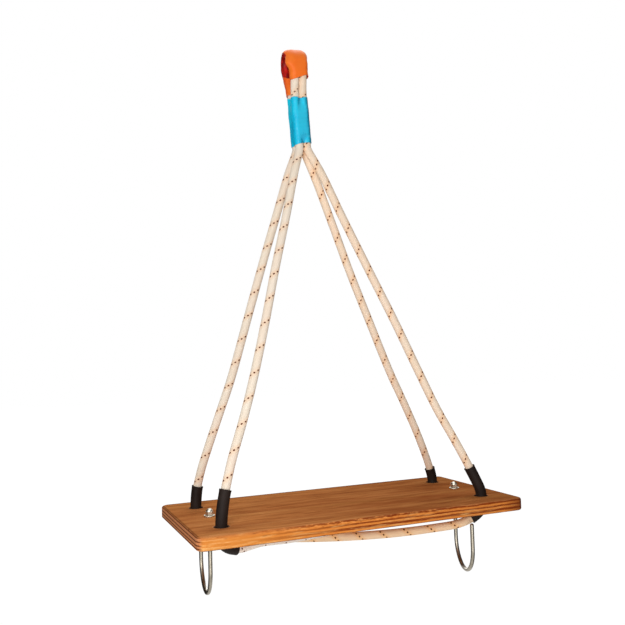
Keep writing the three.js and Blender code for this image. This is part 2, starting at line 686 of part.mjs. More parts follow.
function addHook(name, end, turnDeg) {
  const group = new THREE.Group();
  group.position.copy(boardPoint(end * BOLT_X, 0, 0));
  group.rotation.z = THREE.MathUtils.degToRad(turnDeg);
  shelf.add(group);
  addMesh(group, `hook_${name}`, lofted(hookRings(), false), zincSteel);
  const upperWasher = addMesh(group, `upper_washer_${name}`, washer(), zincSteel);
  upperWasher.position.z = SEAT_GAP;
  const cap = addMesh(group, `cap_nut_${name}`, capNut(), zincSteel);
  cap.position.z = SEAT_GAP + WASHER_THICKNESS + SEAT_GAP;
  const underside = -BOARD_THICKNESS - SEAT_GAP;
  const lowerWasher = addMesh(group, `lower_washer_${name}`, washer(), zincSteel);
  lowerWasher.position.z = underside - WASHER_THICKNESS;
  const nut = addMesh(group, `lower_nut_${name}`, lowerNut(), zincSteel);
  nut.position.z = underside - WASHER_THICKNESS - SEAT_GAP - NUT_HEIGHT;
}

addBoard();
addRopeAndSleeves();
addEye();
addBand();
addProtector();
addHook('left', -1, HOOK_LEFT_TURN_DEG);
addHook('right', 1, HOOK_RIGHT_TURN_DEG);

export default shelf;
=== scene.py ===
# Looks of the hanging rope shelf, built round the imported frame.
# Sizes are in millimetres from the part's own frame and become metres at the mesh.
import math

import bpy
import numpy as np
from mathutils import Matrix, Vector
from mathutils.geometry import tessellate_polygon

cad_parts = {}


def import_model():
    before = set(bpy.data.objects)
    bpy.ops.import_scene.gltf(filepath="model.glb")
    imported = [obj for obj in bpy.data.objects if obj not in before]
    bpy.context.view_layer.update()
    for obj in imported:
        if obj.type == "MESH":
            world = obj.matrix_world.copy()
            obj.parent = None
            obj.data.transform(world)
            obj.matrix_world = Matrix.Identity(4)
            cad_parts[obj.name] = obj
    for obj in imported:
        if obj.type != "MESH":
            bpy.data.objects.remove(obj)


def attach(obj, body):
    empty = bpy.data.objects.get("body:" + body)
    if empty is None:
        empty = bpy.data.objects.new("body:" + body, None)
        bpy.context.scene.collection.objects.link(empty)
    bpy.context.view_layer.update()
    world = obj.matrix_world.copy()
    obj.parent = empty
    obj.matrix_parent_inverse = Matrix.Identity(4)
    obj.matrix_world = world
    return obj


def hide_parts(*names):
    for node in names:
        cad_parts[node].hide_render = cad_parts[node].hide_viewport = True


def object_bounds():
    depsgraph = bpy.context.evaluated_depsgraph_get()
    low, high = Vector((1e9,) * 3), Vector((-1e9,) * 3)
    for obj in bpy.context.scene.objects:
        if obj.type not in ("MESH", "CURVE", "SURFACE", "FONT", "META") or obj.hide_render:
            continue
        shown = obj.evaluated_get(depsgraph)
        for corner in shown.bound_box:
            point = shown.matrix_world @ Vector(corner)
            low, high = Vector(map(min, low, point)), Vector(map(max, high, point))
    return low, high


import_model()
cad_low, cad_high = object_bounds()
MM = 0.001

# Board
BOARD_LENGTH = 500
BOARD_WIDTH = 236
BOARD_THICKNESS = 18
HALF_BOARD = BOARD_THICKNESS / 2
BOARD_CORNER_RADIUS = 12
BOARD_EDGE_ROUND = 3
ROPE_HOLE_X = 206
ROPE_HOLE_Y = 70
ROPE_HOLE_RADIUS = 9.5
ROPE_HOLE_RIM_ROUND = 1.5
BOLT_X = 204
BOLT_HOLE_RADIUS = 3.5
BOLT_HOLE_RIM_ROUND = 0.2

# Where the eye is over the board
EYE_HEIGHT = 676.5
EYE_SHIFT = 56
HEAD_LEAN = math.radians(3.6)

# Rope, sleeves and head
ROPE_DIAMETER = 12.5
ROPE_RADIUS = ROPE_DIAMETER / 2
STRAND_OFFSET = ROPE_RADIUS + 0.15
EYE_LENGTH = 60
EYE_INNER_RADIUS = 9.5
EYE_RADIUS = EYE_INNER_RADIUS + ROPE_RADIUS
HOSE_GAP = 0.5
HOSE_WALL = 1.2
HOSE_FRONT_DROP = 34
HOSE_FRONT_SLANT = 9.5
HOSE_BACK_DROP = 57
HOSE_BACK_TIP = 4
EYE_CENTRE = HOSE_WALL + HOSE_GAP - EYE_INNER_RADIUS
SLEEVE_BORE_RADIUS = ROPE_RADIUS + 0.45
SLEEVE_RADIUS = SLEEVE_BORE_RADIUS + 1.55
BAND_LENGTH = 73.5
BAND_WALL = 0.8
BAND_GAP = 0.3
BAND_CREASE = math.radians(40)
BAND_END_SLANT = 3
BAND_TOP_DIP = 1.5
BAND_BACK_RISE = 2.4
BAND_TOP = -EYE_LENGTH
BAND_BOTTOM = BAND_TOP - BAND_LENGTH
BAND_MIDDLE = (BAND_TOP + BAND_BOTTOM) / 2

# Hooks and their fasteners
WIRE_RADIUS = 3
HOOK_REACH = 82
HOOK_DROP = 98.5
HOOK_MOUTH = 20
HOOK_TURNS = {"left": 85, "right": -106}
THREAD_PITCH = 1.0
THREAD_DEPTH = 0.45
THREAD_LENGTH = 52
SEAT_GAP = 0.3
FASTENER_BORE_RADIUS = 3.3
NUT_FLATS = 10
NUT_HEIGHT = 5
CAP_HEX_HEIGHT = 5
CAP_DOME_HEIGHT = 4
CAP_DOME_RADIUS = 4.7
CAP_DOME_WALL = 2.4
BOLT_TIP_ROOM = 0.6
WASHER_RADIUS = 8
WASHER_THICKNESS = 1.6
CAP_BORE_TOP = CAP_HEX_HEIGHT + CAP_DOME_HEIGHT - CAP_DOME_WALL
HOOK_TOP = 2 * SEAT_GAP + WASHER_THICKNESS + CAP_BORE_TOP - BOLT_TIP_ROOM

# Rope route: the same points as the part's, chosen from the photographed ropes
LEG_WAY_SHARES = [0.05, 0.1, 0.16, 0.25, 0.35, 0.5, 0.65, 0.8, 0.92]
BOW_SHARES = {
    "front_left": [0.42, 0.5, 0.42, 0.02, -0.24, -0.3, -0.17, -0.2, -0.1],
    "back_left": [0.5, 0.62, 0.54, 0.33, 0.1, 0.12, 0.15, 0.1, 0.05],
    "front_right": [0.3, 0.26, 0.14, -0.11, -0.09, 0.02, -0.02, -0.03, 0.05],
    "back_right": [0.5, 0.6, 0.58, 0.34, -0.03, -0.19, -0.28, -0.13, -0.05],
}
LEG_RISE_SHARE = 0.5
BAND_RUN_SHARE = 0.35
BEND_START_SHARE = 0.25
RIM_BEND_SHARES = [(0.05, -0.02), (0.17, 0.28), (0.38, 0.55)]
UPPER_BEND_SHARES = RIM_BEND_SHARES + [(0.7, 0.8), (1.12, 1.02), (1.76, 1.19), (2.64, 1.27), (3.6, 1.22)]
LOWER_BEND_SHARES = RIM_BEND_SHARES + [(0.75, 0.88), (1.28, 1.23), (2.16, 1.63), (3.36, 1.95)]
UPPER_SAG_SHARES = [(0.15, 1.15), (0.25, 1.47), (0.35, 1.66), (0.5, 1.77)]
LOWER_SAG_SHARES = [(0.18, 2.28), (0.26, 2.52), (0.35, 2.7), (0.5, 2.81)]
EYE_RISE_SHARES = [0, 0.25, 0.5, 0.75, 1]
EYE_TURNS = [30, 60, 90, 120, 150]

# Each corner: which side it is on, and how far its sleeve reaches above and below the board
CORNERS = {
    "front_left": (-1, -1, 48, 28),
    "back_left": (-1, 1, 32, 30),
    "front_right": (1, -1, 48, 23),
    "back_right": (1, 1, 25, 30),
}

# Camera, found from the board's edges and holes in the photograph
CAMERA_PLACE = (-416.4, -1035, -451.4)
CAMERA_YAW = 22.81
CAMERA_PITCH = 3.2
CAMERA_ROLL = 1.63
CAMERA_LENS = 42.55
CAMERA_SENSOR = 36.0
CAMERA_NEAR = 0.02
CAMERA_FAR = 50

BACK = np.array([0.0, 1.0, 0.0])
FULL_TURN = 2 * math.pi
QUARTER_TURN = math.pi / 2
TINY = 1e-12


def board_point(x, y, z):
    return np.array([EYE_SHIFT + x, y, z - EYE_HEIGHT], float)


def head_point(x, y, z):
    c, s = math.cos(HEAD_LEAN), math.sin(HEAD_LEAN)
    return np.array([x * c - z * s, y, x * s + z * c], float)


def unit(v):
    return v / np.linalg.norm(v)


# Lines


def through(points, parts=40):
    """A smooth line through the points: centripetal Catmull-Rom, finely sampled."""
    pts = [np.array(p, float) for p in points]
    pts = [2 * pts[0] - pts[1], *pts, 2 * pts[-1] - pts[-2]]
    line = []
    for a, b, c, d in zip(pts, pts[1:], pts[2:], pts[3:]):
        first, middle, last = (math.sqrt(np.linalg.norm(q - p)) for p, q in ((a, b), (b, c), (c, d)))
        start = ((b - a) / first - (c - a) / (first + middle) + (c - b) / middle) * middle
        end = ((c - b) / middle - (d - b) / (middle + last) + (d - c) / last) * middle
        for i in range(parts):
            t = i / parts
            cubic = 2 * b - 2 * c + start + end
            square = -3 * b + 3 * c - 2 * start - end
            line.append(b + start * t + square * t * t + cubic * t**3)
    line.append(pts[-2])
    return np.array(line)


def lengths_along(line):
    steps = np.linalg.norm(np.diff(line, axis=0), axis=1)
    return np.concatenate([[0], np.cumsum(steps)])


def at_distances(line, distances):
    along = lengths_along(line)
    return np.stack([np.interp(distances, along, line[:, k]) for k in range(3)], axis=1)


def resampled(line, step):
    whole = lengths_along(line)[-1]
    count = max(2, int(round(whole / step)))
    return at_distances(line, np.linspace(0, whole, count + 1))


def directions(line):
    ahead = np.gradient(line, axis=0)
    return ahead / np.linalg.norm(ahead, axis=1)[:, None]


def frames_along(line):
    """Directions, sides and third axes along a line, with no more twist than it needs."""
    ahead = directions(line)
    side = unit(BACK - ahead[0] * np.dot(BACK, ahead[0]))
    sides = [side]
    for i in range(1, len(line)):
        chord = line[i] - line[i - 1]
        bounce = np.dot(chord, chord)
        turned = side - chord * (2 / bounce) * np.dot(chord, side)
        facing = ahead[i - 1] - chord * (2 / bounce) * np.dot(chord, ahead[i - 1])
        change = ahead[i] - facing
        size = np.dot(change, change)
        side = turned if size < TINY else turned - change * (2 / size) * np.dot(change, turned)
        side = unit(side - ahead[i] * np.dot(side, ahead[i]))
        sides.append(side)
    sides = np.array(sides)
    return ahead, sides, np.cross(ahead, sides)


def hole_point(name, z):
    """A point on the middle line of a corner's hole."""
    x, y, _, _ = CORNERS[name]
    return board_point(x * ROPE_HOLE_X, y * ROPE_HOLE_Y, z)


def leg_line(name):
    """One leg of the rope, from the middle of the board's thickness to the middle of the band."""
    x, y, _, _ = CORNERS[name]
    strand = (x * STRAND_OFFSET, y * STRAND_OFFSET)
    hole = hole_point(name, 0)
    way = head_point(*strand, BAND_BOTTOM) - hole
    level = unit(np.array([-way[0], -way[1], 0]))
    outwards = unit(level - unit(way) * np.dot(level, unit(way)))
    points = [hole_point(name, -HALF_BOARD), hole_point(name, LEG_RISE_SHARE * ROPE_DIAMETER)]
    for share, bow in zip(LEG_WAY_SHARES, BOW_SHARES[name]):
        points.append(hole + way * share + outwards * bow * ROPE_DIAMETER)
    for height in (BAND_BOTTOM - BAND_RUN_SHARE * ROPE_DIAMETER, BAND_BOTTOM, BAND_MIDDLE):
        points.append(head_point(*strand, height))
    return through(points)


def crossing_line(start_name, end_name, bend_shares, sag_shares):
    """One rope under the board, between the middles of the board's thickness."""
    start, end = hole_point(start_name, 0), hole_point(end_name, 0)
    whole = np.linalg.norm(end - start)
    near = [(0, -HALF_BOARD), (0, -BEND_START_SHARE * BOARD_THICKNESS)]
    near += [(away * ROPE_DIAMETER, depth * ROPE_DIAMETER) for away, depth in bend_shares]
    near += [(share * whole, depth * ROPE_DIAMETER) for share, depth in sag_shares]
    far = [(whole - away, depth) for away, depth in reversed(near[:-1])]
    points = []
    for away, depth in near + far:
        drop = np.array([0, 0, BOARD_THICKNESS + depth])
        points.append(start + (end - start) * (away / whole) - drop)
    return through(points)


def eye_line(x):
    """The eye, from the middle of the band up the front, over the top and down the back."""
    half = [(STRAND_OFFSET, BAND_MIDDLE)]
    for share in EYE_RISE_SHARES:
        ease = share * share * (3 - 2 * share)
        spread = STRAND_OFFSET + (EYE_RADIUS - STRAND_OFFSET) * ease
        half.append((spread, BAND_TOP + (EYE_CENTRE - BAND_TOP) * share))
    points = [(x, -y, z) for y, z in half]
    for turn in EYE_TURNS:
        angle = math.radians(turn)
        points.append((x, -EYE_RADIUS * math.cos(angle), EYE_CENTRE + EYE_RADIUS * math.sin(angle)))
    points += [(x, y, z) for y, z in reversed(half)]
    return through(points)


def leaned(line):
    return np.array([head_point(*p) for p in line])


# Meshes


def mesh_object(name, points, faces, smooth=True):
    """A mesh object from points in millimetres."""
    mesh = bpy.data.meshes.new(name)
    mesh.from_pydata([tuple(p * MM) for p in np.asarray(points, float)], [], faces)
    mesh.validate()
    mesh.polygons.foreach_set("use_smooth", [smooth] * len(mesh.polygons))
    mesh.update()
    obj = bpy.data.objects.new(name, mesh)
    bpy.context.scene.collection.objects.link(obj)
    return obj


def grid_faces(rows, across, looped_rows=False):
    """Quads between rings of points, each ring closed on itself."""
    faces = []
    for r in range(rows if looped_rows else rows - 1):
        following = (r + 1) % rows
        for i in range(across):
            j = (i + 1) % across
            faces.append((r * across + i, r * across + j, following * across + j, following * across + i))
    return faces


def ring_mesh(name, rings):
    """A closed skin over rings of points, with the last ring joined to the first."""
    return mesh_object(name, np.concatenate(rings), grid_faces(len(rings), len(rings[0]), True))


def double_wall(rows, spots, thickness, point):
    """Rings up an outer wall and back down the inner one, from a point for each share and spot."""
    shares = [r / (rows - 1) for r in range(rows)]
    outer = [[point(share, 0.0, *spot) for spot in spots] for share in shares]
    inner = [[point(share, thickness, *spot) for spot in spots] for share in reversed(shares)]
    return outer + inner


def capped_faces(rows, across):
    """Quads between rings, and one face over each end."""
    last = (rows - 1) * across
    caps = [tuple(reversed(range(across))), tuple(range(last, last + across))]
    return grid_faces(rows, across) + caps


def lay_uv(obj, across, distances):
    """A map whose first value runs once round each ring and whose second is the distance in metres."""
    layer = obj.data.uv_layers.new(name="along")
    for face in obj.data.polygons:
        spot = [v % across for v in face.vertices]
        wraps = max(spot) - min(spot) > 1
        for loop, v, i in zip(face.loop_indices, face.vertices, spot):
            round_share = (i + across if wraps and i == 0 else i) / across
            layer.data[loop].uv = (round_share, distances[v // across] * MM)


def round_angles(sides):
    return np.linspace(0, FULL_TURN, sides, endpoint=False)


def ring_points(centre, side, third, angles, sizes):
    """A ring round a centre, with its own size at each angle."""
    pairs = zip(angles, sizes)
    return [centre + size * (side * math.cos(angle) + third * math.sin(angle)) for angle, size in pairs]


def tube(name, line, radius, sides, marks):
    """A closed tube along a line, whose map holds a mark for each point of the line."""
    _, side, third = frames_along(line)
    angles = round_angles(sides)
    points = [p for row in zip(line, side, third) for p in ring_points(*row, angles, [radius] * sides)]
    obj = mesh_object(name, points, capped_faces(len(line), sides))
    lay_uv(obj, sides, marks)
    return obj


def swell(value, height, middle, width):
    """A smooth hump of a height, round a middle."""
    return height * math.exp(-(((value - middle) / width) ** 2))


def waves(distance, angle, parts):
    """Slight waves along and round a tube. Each part is a height, rate, count round and phase."""
    total = 0.0
    for height, rate, count, phase in parts:
        total += height * math.sin(rate * distance + count * angle + phase)
    return total


# Materials


class Nodes:
    """Shorthand for building the nodes of a new material or world."""

    def __init__(self, name, kind=bpy.data.materials):
        self.owner = kind.new(name)
        self.owner.use_nodes = True
        self.tree = self.owner.node_tree
        self.shader = self.tree.nodes.get("Principled BSDF")

    def add(self, kind, **settings):
        node = self.tree.nodes.new(kind)
        for key, value in settings.items():
            setattr(node, key, value)
        return node

    def put(self, socket, value):
        if isinstance(value, bpy.types.NodeSocket):
            self.tree.links.new(value, socket)
        else:
            socket.default_value = value

    def fill(self, node, *values, **named):
        """Set or link a node's inputs, in order or by name, and give its first output."""
        for socket, value in zip(node.inputs, values):
            self.put(socket, value)
        for key, value in named.items():
            self.put(node.inputs[key.replace("_", " ")], value)
        return node.outputs[0]

    def set(self, **values):
        self.fill(self.shader, **values)

    def math(self, operation, *values):
        return self.fill(self.add("ShaderNodeMath", operation=operation), *values)

    def plus(self, a, b):
        return self.math("ADD", a, b)

    def minus(self, a, b):
        return self.math("SUBTRACT", a, b)

    def times(self, a, b):
        return self.math("MULTIPLY", a, b)

    def scaled(self, value, by, plus):
        return self.math("MULTIPLY_ADD", value, by, plus)

    def size(self, value):
        return self.math("ABSOLUTE", value)

    def length(self, a, b):
        return self.math("SQRT", self.scaled(a, a, self.times(b, b)))

    def between(self, value, low, high):
        return self.fill(self.add("ShaderNodeMapRange", clamp=True), value, low, high)

    def mix(self, share, a, b):
        node = self.add("ShaderNodeMix", data_type="RGBA")
        for spot, value in ((0, share), (6, a), (7, b)):
            self.put(node.inputs[spot], value)
        return node.outputs[2]

    def over(self, base, mask, strength, colour):
        """A base colour with another laid over it, at a strength, where the mask is one."""
        return self.mix(self.times(mask, strength), base, colour)

    def ramp(self, value, stops):
        node = self.add("ShaderNodeValToRGB")
        elements = node.color_ramp.elements
        while len(elements) < len(stops):
            elements.new(0.5)
        for element, (place, colour) in zip(elements, stops):
            element.position = place
            element.color = colour
        return self.fill(node, value)

    def split(self, vector):
        node = self.add("ShaderNodeSeparateXYZ")
        self.fill(node, vector)
        return node.outputs

    def place(self):
        """The object's own coordinates, in metres."""
        return self.add("ShaderNodeTexCoord").outputs["Object"]

    def facing(self):
        """The three parts of the surface's own direction."""
        return self.split(self.add("ShaderNodeNewGeometry").outputs["Normal"])

    def grain(self, counts, detail=2, roughness=0.5, distortion=0.0):
        """Noise with its own count of waves to a metre along each axis."""
        spread = self.fill(self.add("ShaderNodeMapping"), Vector=self.place(), Scale=counts)
        noise = self.add("ShaderNodeTexNoise")
        self.fill(noise, Vector=spread, Scale=1, Detail=detail, Roughness=roughness)
        return self.fill(noise, Distortion=distortion)

    def bump(self, height, distance, strength, after=None):
        node = self.add("ShaderNodeBump")
        if after is not None:
            self.fill(node, Normal=after)
        return self.fill(node, Height=height, Distance=distance, Strength=strength)


def rgb(red, green, blue):
    """A colour given as the 0 to 255 values that it shows on screen."""
    def linear(v):
        share = v / 255
        return share / 12.92 if share <= 0.04045 else ((share + 0.055) / 1.055) ** 2.4

    return (linear(red), linear(green), linear(blue), 1.0)


def shaded(obj, material):
    """Give a piece its one material."""
    obj.data.materials.clear()
    obj.data.materials.append(material)


# The sheath's braid: its pitch in metres, and its flecks in strands
BRAID_STRANDS = 16
BRAID_PITCH = 0.0368
WEAVE_REPEAT = 4
FLECK_STRAND = 3.5
FLECK_HALF_WIDTH = 0.74
FLECK_HALF_LENGTH = 1.0
FLECK_HALO = 3.6
TINT_SHARE = 0.55
PAINTED_LIGHT_BLEND = 0.05


def rope_material(name, tint, painted_light_from=None):
    """A braided sheath: two sets of strands crossing two over and two under, with brown flecks, painted
    shade in the grooves between the strands, and a tint. Left of a given x, a pale stretch of painted light.
    """
    n = Nodes(name)
    layer = n.add("ShaderNodeUVMap", uv_map="along")
    round_share, distance, _ = n.split(layer.outputs[0])
    turns = n.math("DIVIDE", distance, BRAID_PITCH)
    rising = n.times(n.minus(round_share, turns), BRAID_STRANDS)
    falling = n.times(n.plus(round_share, turns), BRAID_STRANDS)
    cell = n.plus(n.math("FLOOR", rising), n.math("FLOOR", falling))
    rising_over = n.math("LESS_THAN", n.math("FLOORED_MODULO", cell, WEAVE_REPEAT), (WEAVE_REPEAT - 1) / 2)

    def rounded(value):
        across = n.minus(n.times(n.math("FRACT", value), 2.0), 1.0)
        return n.minus(1.0, n.times(across, across))

    height = n.add("ShaderNodeMix", data_type="FLOAT")
    n.put(height.inputs[0], rising_over)
    n.put(height.inputs[2], rounded(falling))
    n.put(height.inputs[3], rounded(rising))
    strand = height.outputs[0]

    off_strand = n.minus(n.math("FLOORED_MODULO", rising, BRAID_STRANDS), FLECK_STRAND)
    aside = n.math("DIVIDE", off_strand, FLECK_HALF_WIDTH)
    crossing = n.math("FLOORED_MODULO", n.plus(falling, FLECK_STRAND), WEAVE_REPEAT)
    ahead = n.math("DIVIDE", n.minus(crossing, WEAVE_REPEAT / 2), FLECK_HALF_LENGTH)
    fleck = n.between(n.length(aside, ahead), 1.1, 0.75)
    halo = n.between(n.size(off_strand), FLECK_HALO, 0.8)

    patches = n.grain((30, 30, 30), 3, 0.6)
    blush = n.grain((18, 18, 10.8))
    fine = n.grain((900, 900, 900))
    sheath = n.mix(n.between(patches, 0.3, 0.7), rgb(250, 230, 206), rgb(255, 247, 234))
    sheath = n.over(sheath, n.between(blush, 0.48, 0.7), 0.6, rgb(255, 226, 212))
    sheath = n.over(sheath, halo, n.scaled(patches, 0.7, 0.35), rgb(255, 184, 112))
    # Painted shade: the grooves between the strands are darker.
    sheath = n.mix(n.between(strand, 0.0, 0.5), n.mix(0.4, sheath, rgb(176, 146, 118)), sheath)
    sheath = n.over(sheath, n.between(fine, 0.3, 0.7), 0.2, rgb(232, 210, 186))
    # For the ropes under the board, this tint is painted warm bounce light from the board.
    sheath = n.mix(TINT_SHARE, sheath, tint)
    # Left of the given x, a pale stretch of painted light.
    if painted_light_from is not None:
        x, _, _ = n.split(n.place())
        sheath = n.over(sheath, n.between(x, painted_light_from + PAINTED_LIGHT_BLEND, painted_light_from), 0.7, rgb(255, 250, 244))
    n.set(Base_Color=n.mix(fleck, sheath, rgb(96, 34, 8)), Roughness=0.9, Specular_IOR_Level=0.12)
    n.set(Normal=n.bump(strand, 0.00025, 0.7, after=n.bump(fine, 0.0001, 0.4)))
    return n.owner


def sleeve_material():
    """Dull black shrink tubing, a little mottled."""
    n = Nodes("black_shrink_sleeve")
    wide = n.grain((60, 60, 60), 3)
    fine = n.grain((1400, 1400, 1400))
    colour = n.mix(wide, rgb(18, 12, 9), rgb(42, 30, 24))
    n.set(Base_Color=colour, Roughness=n.scaled(fine, 0.2, 0.55), Specular_IOR_Level=0.18)
    n.set(Normal=n.bump(fine, 0.0002, 0.5, after=n.bump(wide, 0.001, 0.3)))
    return n.owner


def band_material():
    """Light blue shrink tubing, half gloss, with painted shade on its right side."""
    n = Nodes("blue_shrink_band")
    wide = n.grain((60, 60, 21), 3)
    fine = n.grain((500, 500, 500))
    facing_x, _, _ = n.facing()
    colour = n.mix(n.between(wide, 0.3, 0.7), rgb(0, 182, 228), rgb(20, 224, 255))
    # Painted shade on the sides that face right.
    colour = n.over(colour, n.between(facing_x, -0.15, 0.75), 0.85, rgb(4, 92, 120))
    n.set(Base_Color=colour, Roughness=n.scaled(wide, 0.2, 0.18), Specular_IOR_Level=0.5)
    n.set(Normal=n.bump(fine, 0.0002, 0.35, after=n.bump(wide, 0.0014, 0.45)))
    return n.owner


def protector_material():
    """Bright orange plastic, with painted shade: redder at the back, and dark red where the mesh marks
    painted shade.
    """
    n = Nodes("orange_protector")
    wide = n.grain((35, 35, 35), 3)
    fine = n.grain((700, 700, 700))
    streak = n.grain((260, 260, 78))
    painted_shade = n.add("ShaderNodeAttribute", attribute_name="painted_shade").outputs["Fac"]
    _, y, _ = n.split(n.place())
    colour = n.mix(wide, rgb(255, 104, 20), rgb(255, 138, 46))
    # Painted shade: the back of the hose is redder.
    colour = n.over(colour, n.between(y, 0.0, 0.01), 0.6, rgb(232, 58, 14))
    # Dark red for the painted shade that the mesh marks.
    dark = n.mix(n.between(streak, 0.4, 0.65), rgb(120, 3, 0), rgb(202, 20, 4))
    colour = n.mix(n.between(painted_shade, 0.4, 0.6), colour, dark)
    n.set(Base_Color=colour, Roughness=0.5, Specular_IOR_Level=0.22)
    n.set(Normal=n.bump(fine, 0.0002, 0.4, after=n.bump(wide, 0.001, 0.3)))
    return n.owner


def steel_material(name, tones):
    """Zinc-plated steel with fine drawing lines and a little mottling."""
    n = Nodes(name)
    wide = n.grain((90, 90, 90), 3)
    fine = n.grain((1600, 1600, 128))
    n.set(Base_Color=n.mix(wide, *tones), Metallic=1.0, Roughness=n.scaled(wide, 0.12, 0.33))
    n.set(Normal=n.bump(fine, 0.0001, 0.15))
    return n.owner


# Plies down the board's edges: where each starts and ends, as shares of the thickness. They take
# turns, dark first. Plies that run with an edge show light and plies that run across it dark.
FRONT_PLY_SHARES = [(0.05, 0.14), (0.18, 0.29), (0.34, 0.42), (0.46, 0.56), (0.62, 0.75), (0.8, 0.9)]
END_PLY_SHARES = [(0.04, 0.09), (0.12, 0.27), (0.31, 0.36), (0.4, 0.54)]
END_PLY_SHARES += [(0.58, 0.63), (0.67, 0.76), (0.8, 0.86), (0.9, 0.94)]
FOOT_SHARE = 0.98

# Marks, painted shade and painted highlights on the board. Places along it are in metres, as the material
# sees them
BORDER_WIDTH = 4.5
BACK_BORDER_SHARE = 0.5
RIM_WIDTH = 2.5
WIDE_WAVE = 3
SHORT_WAVE = 2.2
SHARP_PLIES = (-0.15, 0.02)
PLIES_WANDER = 0.12
DASH_RISE = (-0.14, -0.02)
DASH_FALL = (0.24, 0.12)
RIGHT_END_SHADE = (0.27, 0.295)
FADE = (-0.15, 0.33)


def ply_stops(shares, top, dark, light, foot):
    """Colours from the top of an edge to its foot."""
    stops = [(0.0, top)]
    for i, (start, end) in enumerate(shares):
        tone = light if i % 2 else dark
        stops += [(start, tone), (end, tone)]
    return stops + [(FOOT_SHARE, foot), (1.0, foot)]


def face_colour(n, streaks):
    """The board's faces: long grain with wide bands and fine pores."""
    bands = n.grain((1.8, 20, 20), 3, 0.5, 1.0)
    pores = n.grain((70, 1300, 1300), 3, 0.55)
    long_grain = n.grain((4.5, 30, 30), 5, 0.6, 0.8)
    grain = n.plus(n.times(long_grain, 0.55), n.times(streaks, 0.45))
    stops = [(0.36, rgb(154, 90, 48)), (0.45, rgb(194, 120, 66))]
    stops += [(0.54, rgb(217, 140, 80)), (0.66, rgb(234, 162, 98))]
    face = n.over(n.ramp(grain, stops), n.between(bands, 0.48, 0.32), 0.55, rgb(166, 88, 46))
    face = n.over(face, n.between(bands, 0.56, 0.7), 0.5, rgb(214, 148, 78))
    return n.over(face, n.between(pores, 0.58, 0.7), 0.35, rgb(122, 66, 32))


def front_colour(n, x, depth, straight, wide_wave):
    """The long edges: plies, blurred towards the left, with flame, dark spots, dark dashes, light dashes
    that are painted highlights, and painted shade at the right end.
    """
    tones = rgb(196, 120, 66), rgb(140, 58, 8), rgb(230, 138, 58), rgb(94, 44, 16)
    blurred = [(0.0, rgb(204, 124, 66)), (0.3, rgb(222, 134, 54)), (0.9, rgb(222, 138, 58))]
    blurred += [(FOOT_SHARE, rgb(100, 51, 20)), (1.0, rgb(100, 51, 20))]
    sharp = n.between(n.scaled(wide_wave, PLIES_WANDER, x), *SHARP_PLIES)
    front = n.mix(sharp, n.ramp(depth, blurred), n.ramp(depth, ply_stops(FRONT_PLY_SHARES, *tones)))
    flame = n.grain((20, 20, 380), 4, 0.65, 0.7)
    front = n.over(front, n.between(flame, 0.54, 0.68), 0.6, rgb(255, 196, 122))
    front = n.over(front, n.between(flame, 0.44, 0.32), 0.5, rgb(190, 94, 30))
    blotch = n.grain((60, 60, 260), 2)
    upper = n.scaled(n.between(straight, 0.5, 0.1), 0.55, 0.2)
    front = n.over(front, n.between(blotch, 0.6, 0.72), upper, rgb(128, 52, 18))
    dashes = n.grain((110, 110, 420), 3, 0.6)
    # Along a stretch of the top arris: light dashes that are painted highlights, and dark dashes.
    dashed_stretch = n.times(n.between(x, *DASH_RISE), n.between(x, *DASH_FALL))
    arris = n.times(n.between(straight, 0.42, 0.2), dashed_stretch)
    highlight_dashes = n.times(n.between(dashes, 0.53, 0.63), 0.7)
    dark_dashes = n.times(n.between(dashes, 0.47, 0.37), 0.6)
    front = n.over(front, arris, highlight_dashes, rgb(255, 164, 84))
    front = n.over(front, arris, dark_dashes, rgb(128, 48, 14))
    # Painted shade at the right end.
    return n.over(front, n.between(x, *RIGHT_END_SHADE), 0.65, rgb(100, 36, 2))


def end_colour(n, depth, straight):
    """The short edges: plies, with the speckle of cut grain."""
    tones = rgb(188, 116, 64), rgb(104, 53, 27), rgb(214, 138, 90), rgb(69, 44, 31)
    calmer = n.scaled(n.minus(depth, straight), 0.3, straight)
    end = n.ramp(calmer, ply_stops(END_PLY_SHARES, *tones))
    speckle = n.grain((700, 700, 500), 2)
    return n.over(end, n.between(speckle, 0.5, 0.75), 0.25, rgb(120, 66, 36))


